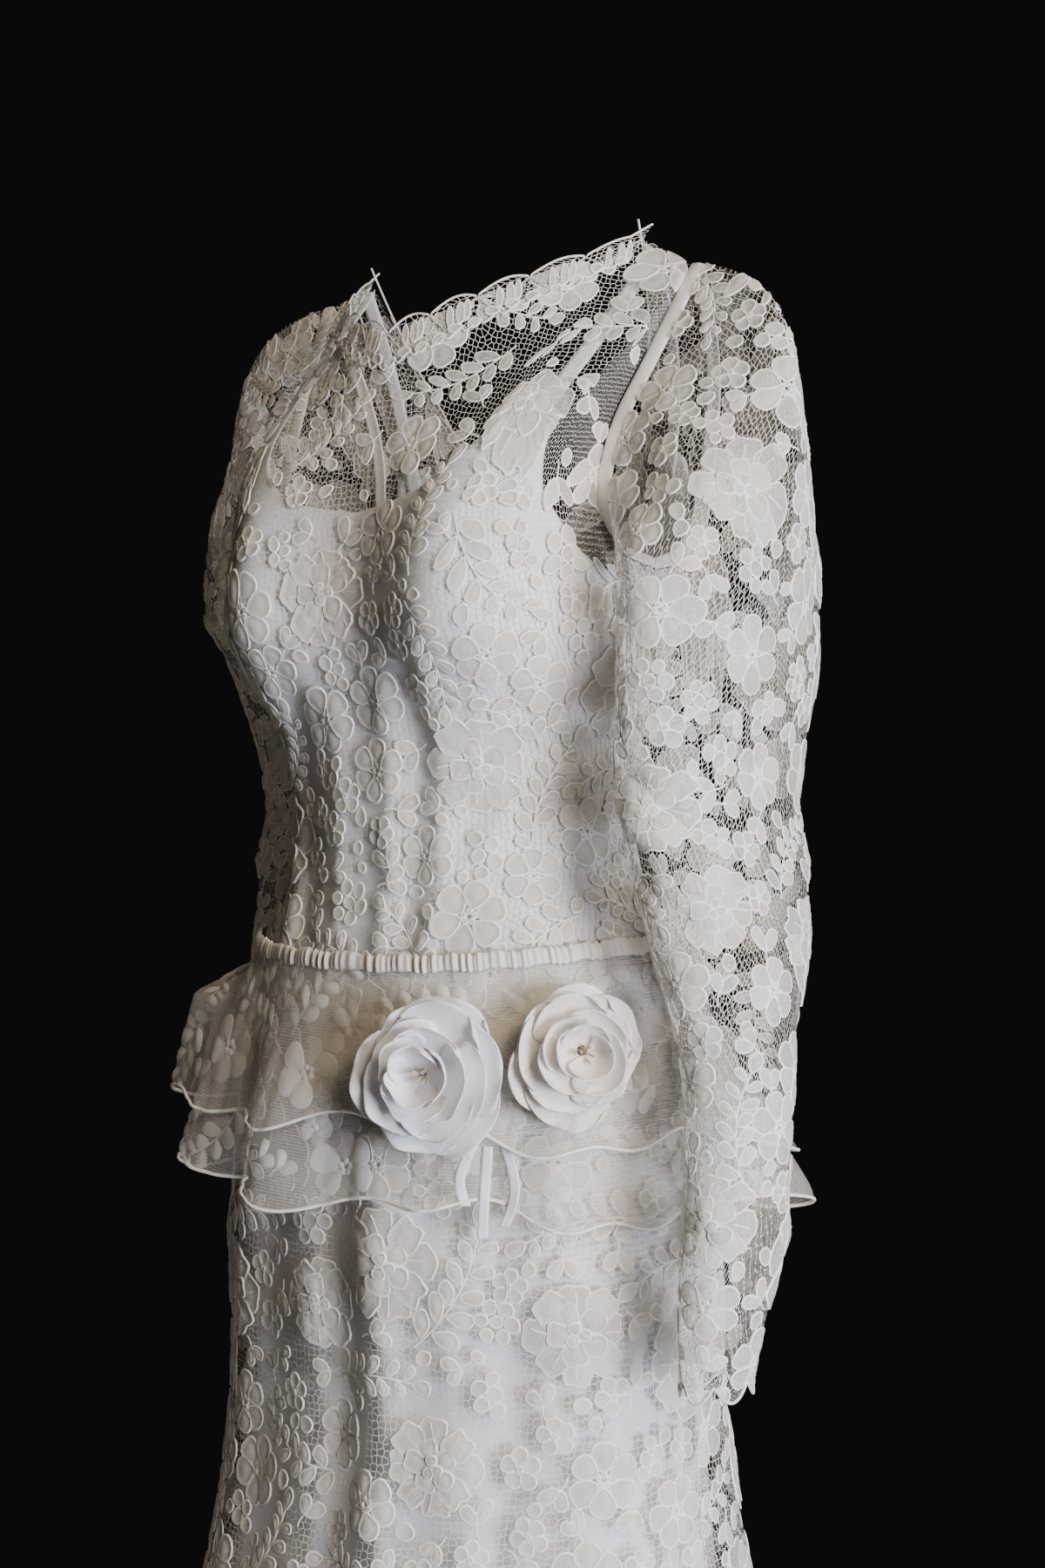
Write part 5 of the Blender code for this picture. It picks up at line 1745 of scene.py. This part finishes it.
class DRESS_OT_stage(bpy.types.Operator):
    """Make the floor, lights, world and camera"""

    bl_idname = "dress.stage"
    bl_label = "Stage"

    def execute(self, context):
        settings = context.scene.dress_stage
        bpy.ops.object.select_all(action="DESELECT")
        bpy.ops.mesh.primitive_cylinder_add(
            vertices=96, radius=settings.floor_radius, depth=0.02, location=(0, 0, FLOOR_Z - 0.01))
        floor = context.active_object
        floor.name = "floor"
        bpy.ops.object.mode_set(mode="EDIT")
        bpy.ops.mesh.select_all(action="SELECT")
        bpy.ops.mesh.bevel(offset=0.004, segments=2)
        bpy.ops.object.mode_set(mode="OBJECT")
        paint = Shader("floor_paint", Roughness=0.7)
        cloud = paint.noise(paint.object_place(), 3.0)
        paint.link("Base Color", paint.colour((0.55, 0.55, 0.55), (0.60, 0.60, 0.60), cloud))
        floor.data.materials.append(paint.material)
        for name, power, size, colour, place, target in (
            ("key", settings.key_power, 1.1, (0.80, 0.85, 1.0), (2.9, -0.8, -0.6), (0.05, 0.0, -0.85)),
            ("fill", settings.fill_power, 1.6, (1.0, 0.82, 0.62), (-1.6, -2.0, 0.1), (0.0, 0.0, -0.45)),
            ("top", settings.top_power, 1.0, (1.0, 0.85, 0.64), (2.4, -1.0, 1.0), (0.0, 0.0, -0.10)),
            ("back", settings.back_power, 1.6, (1.0, 0.95, 0.90), (-1.8, 2.4, 0.7), (0.0, 0.0, -0.70)),
        ):
            light = bpy.data.lights.new(name, "AREA")
            light.energy, light.size, light.color = power, size, colour
            lamp = bpy.data.objects.new(name, light)
            lamp.location = place
            lamp.rotation_euler = (Vector(target) - Vector(place)).to_track_quat("-Z", "Y").to_euler()
            context.scene.collection.objects.link(lamp)
        world = bpy.data.worlds.new("studio")
        world.use_nodes = True
        world.node_tree.nodes["Background"].inputs[0].default_value = (0.5, 0.5, 0.5, 1)
        world.node_tree.nodes["Background"].inputs[1].default_value = 0.01
        context.scene.world = world
        data = bpy.data.cameras.new("camera")
        data.lens, data.sensor_width = 50.0, 36.0
        camera = bpy.data.objects.new("camera", data)
        camera.location = CAMERA_AT
        camera.rotation_euler = [math.radians(a) for a in CAMERA_TURN]
        context.scene.collection.objects.link(camera)
        context.scene.camera = camera
        return {"FINISHED"}


class DRESS_PT_panel(bpy.types.Panel):
    """Settings and steps of the dress"""

    bl_idname = "DRESS_PT_panel"
    bl_label = "Dress"
    bl_space_type = "VIEW_3D"
    bl_region_type = "UI"
    bl_category = "Dress"

    def draw(self, context):
        for group in (context.scene.dress, context.scene.dress_flowers, context.scene.dress_stage):
            for key in group.bl_rna.properties.keys():
                if key not in ("rna_type", "name"):
                    self.layout.prop(group, key)
        for step in STEPS:
            self.layout.operator("dress." + step)


STEPS = ("lining", "bodice", "sleeves", "skirt", "border", "peplum", "roses", "ribbons", "buttons", "stage")
CLASSES = (
    DressSettings,
    FlowerSettings,
    StageSettings,
    DRESS_OT_lining,
    DRESS_OT_bodice,
    DRESS_OT_sleeves,
    DRESS_OT_skirt,
    DRESS_OT_border,
    DRESS_OT_peplum,
    DRESS_OT_roses,
    DRESS_OT_ribbons,
    DRESS_OT_buttons,
    DRESS_OT_stage,
    DRESS_PT_panel,
)


def register():
    """Register the settings, operators and panel."""
    for item in CLASSES:
        bpy.utils.register_class(item)
    bpy.types.Scene.dress = bpy.props.PointerProperty(type=DressSettings)
    bpy.types.Scene.dress_flowers = bpy.props.PointerProperty(type=FlowerSettings)
    bpy.types.Scene.dress_stage = bpy.props.PointerProperty(type=StageSettings)


def unregister():
    """Take the settings, operators and panel out again."""
    del bpy.types.Scene.dress
    del bpy.types.Scene.dress_flowers
    del bpy.types.Scene.dress_stage
    for item in reversed(CLASSES):
        bpy.utils.unregister_class(item)


def main():
    """Build the dress and its stage with the operators."""
    register()
    for step in STEPS:
        getattr(bpy.ops.dress, step)()


if __name__ == "__main__":
    main()
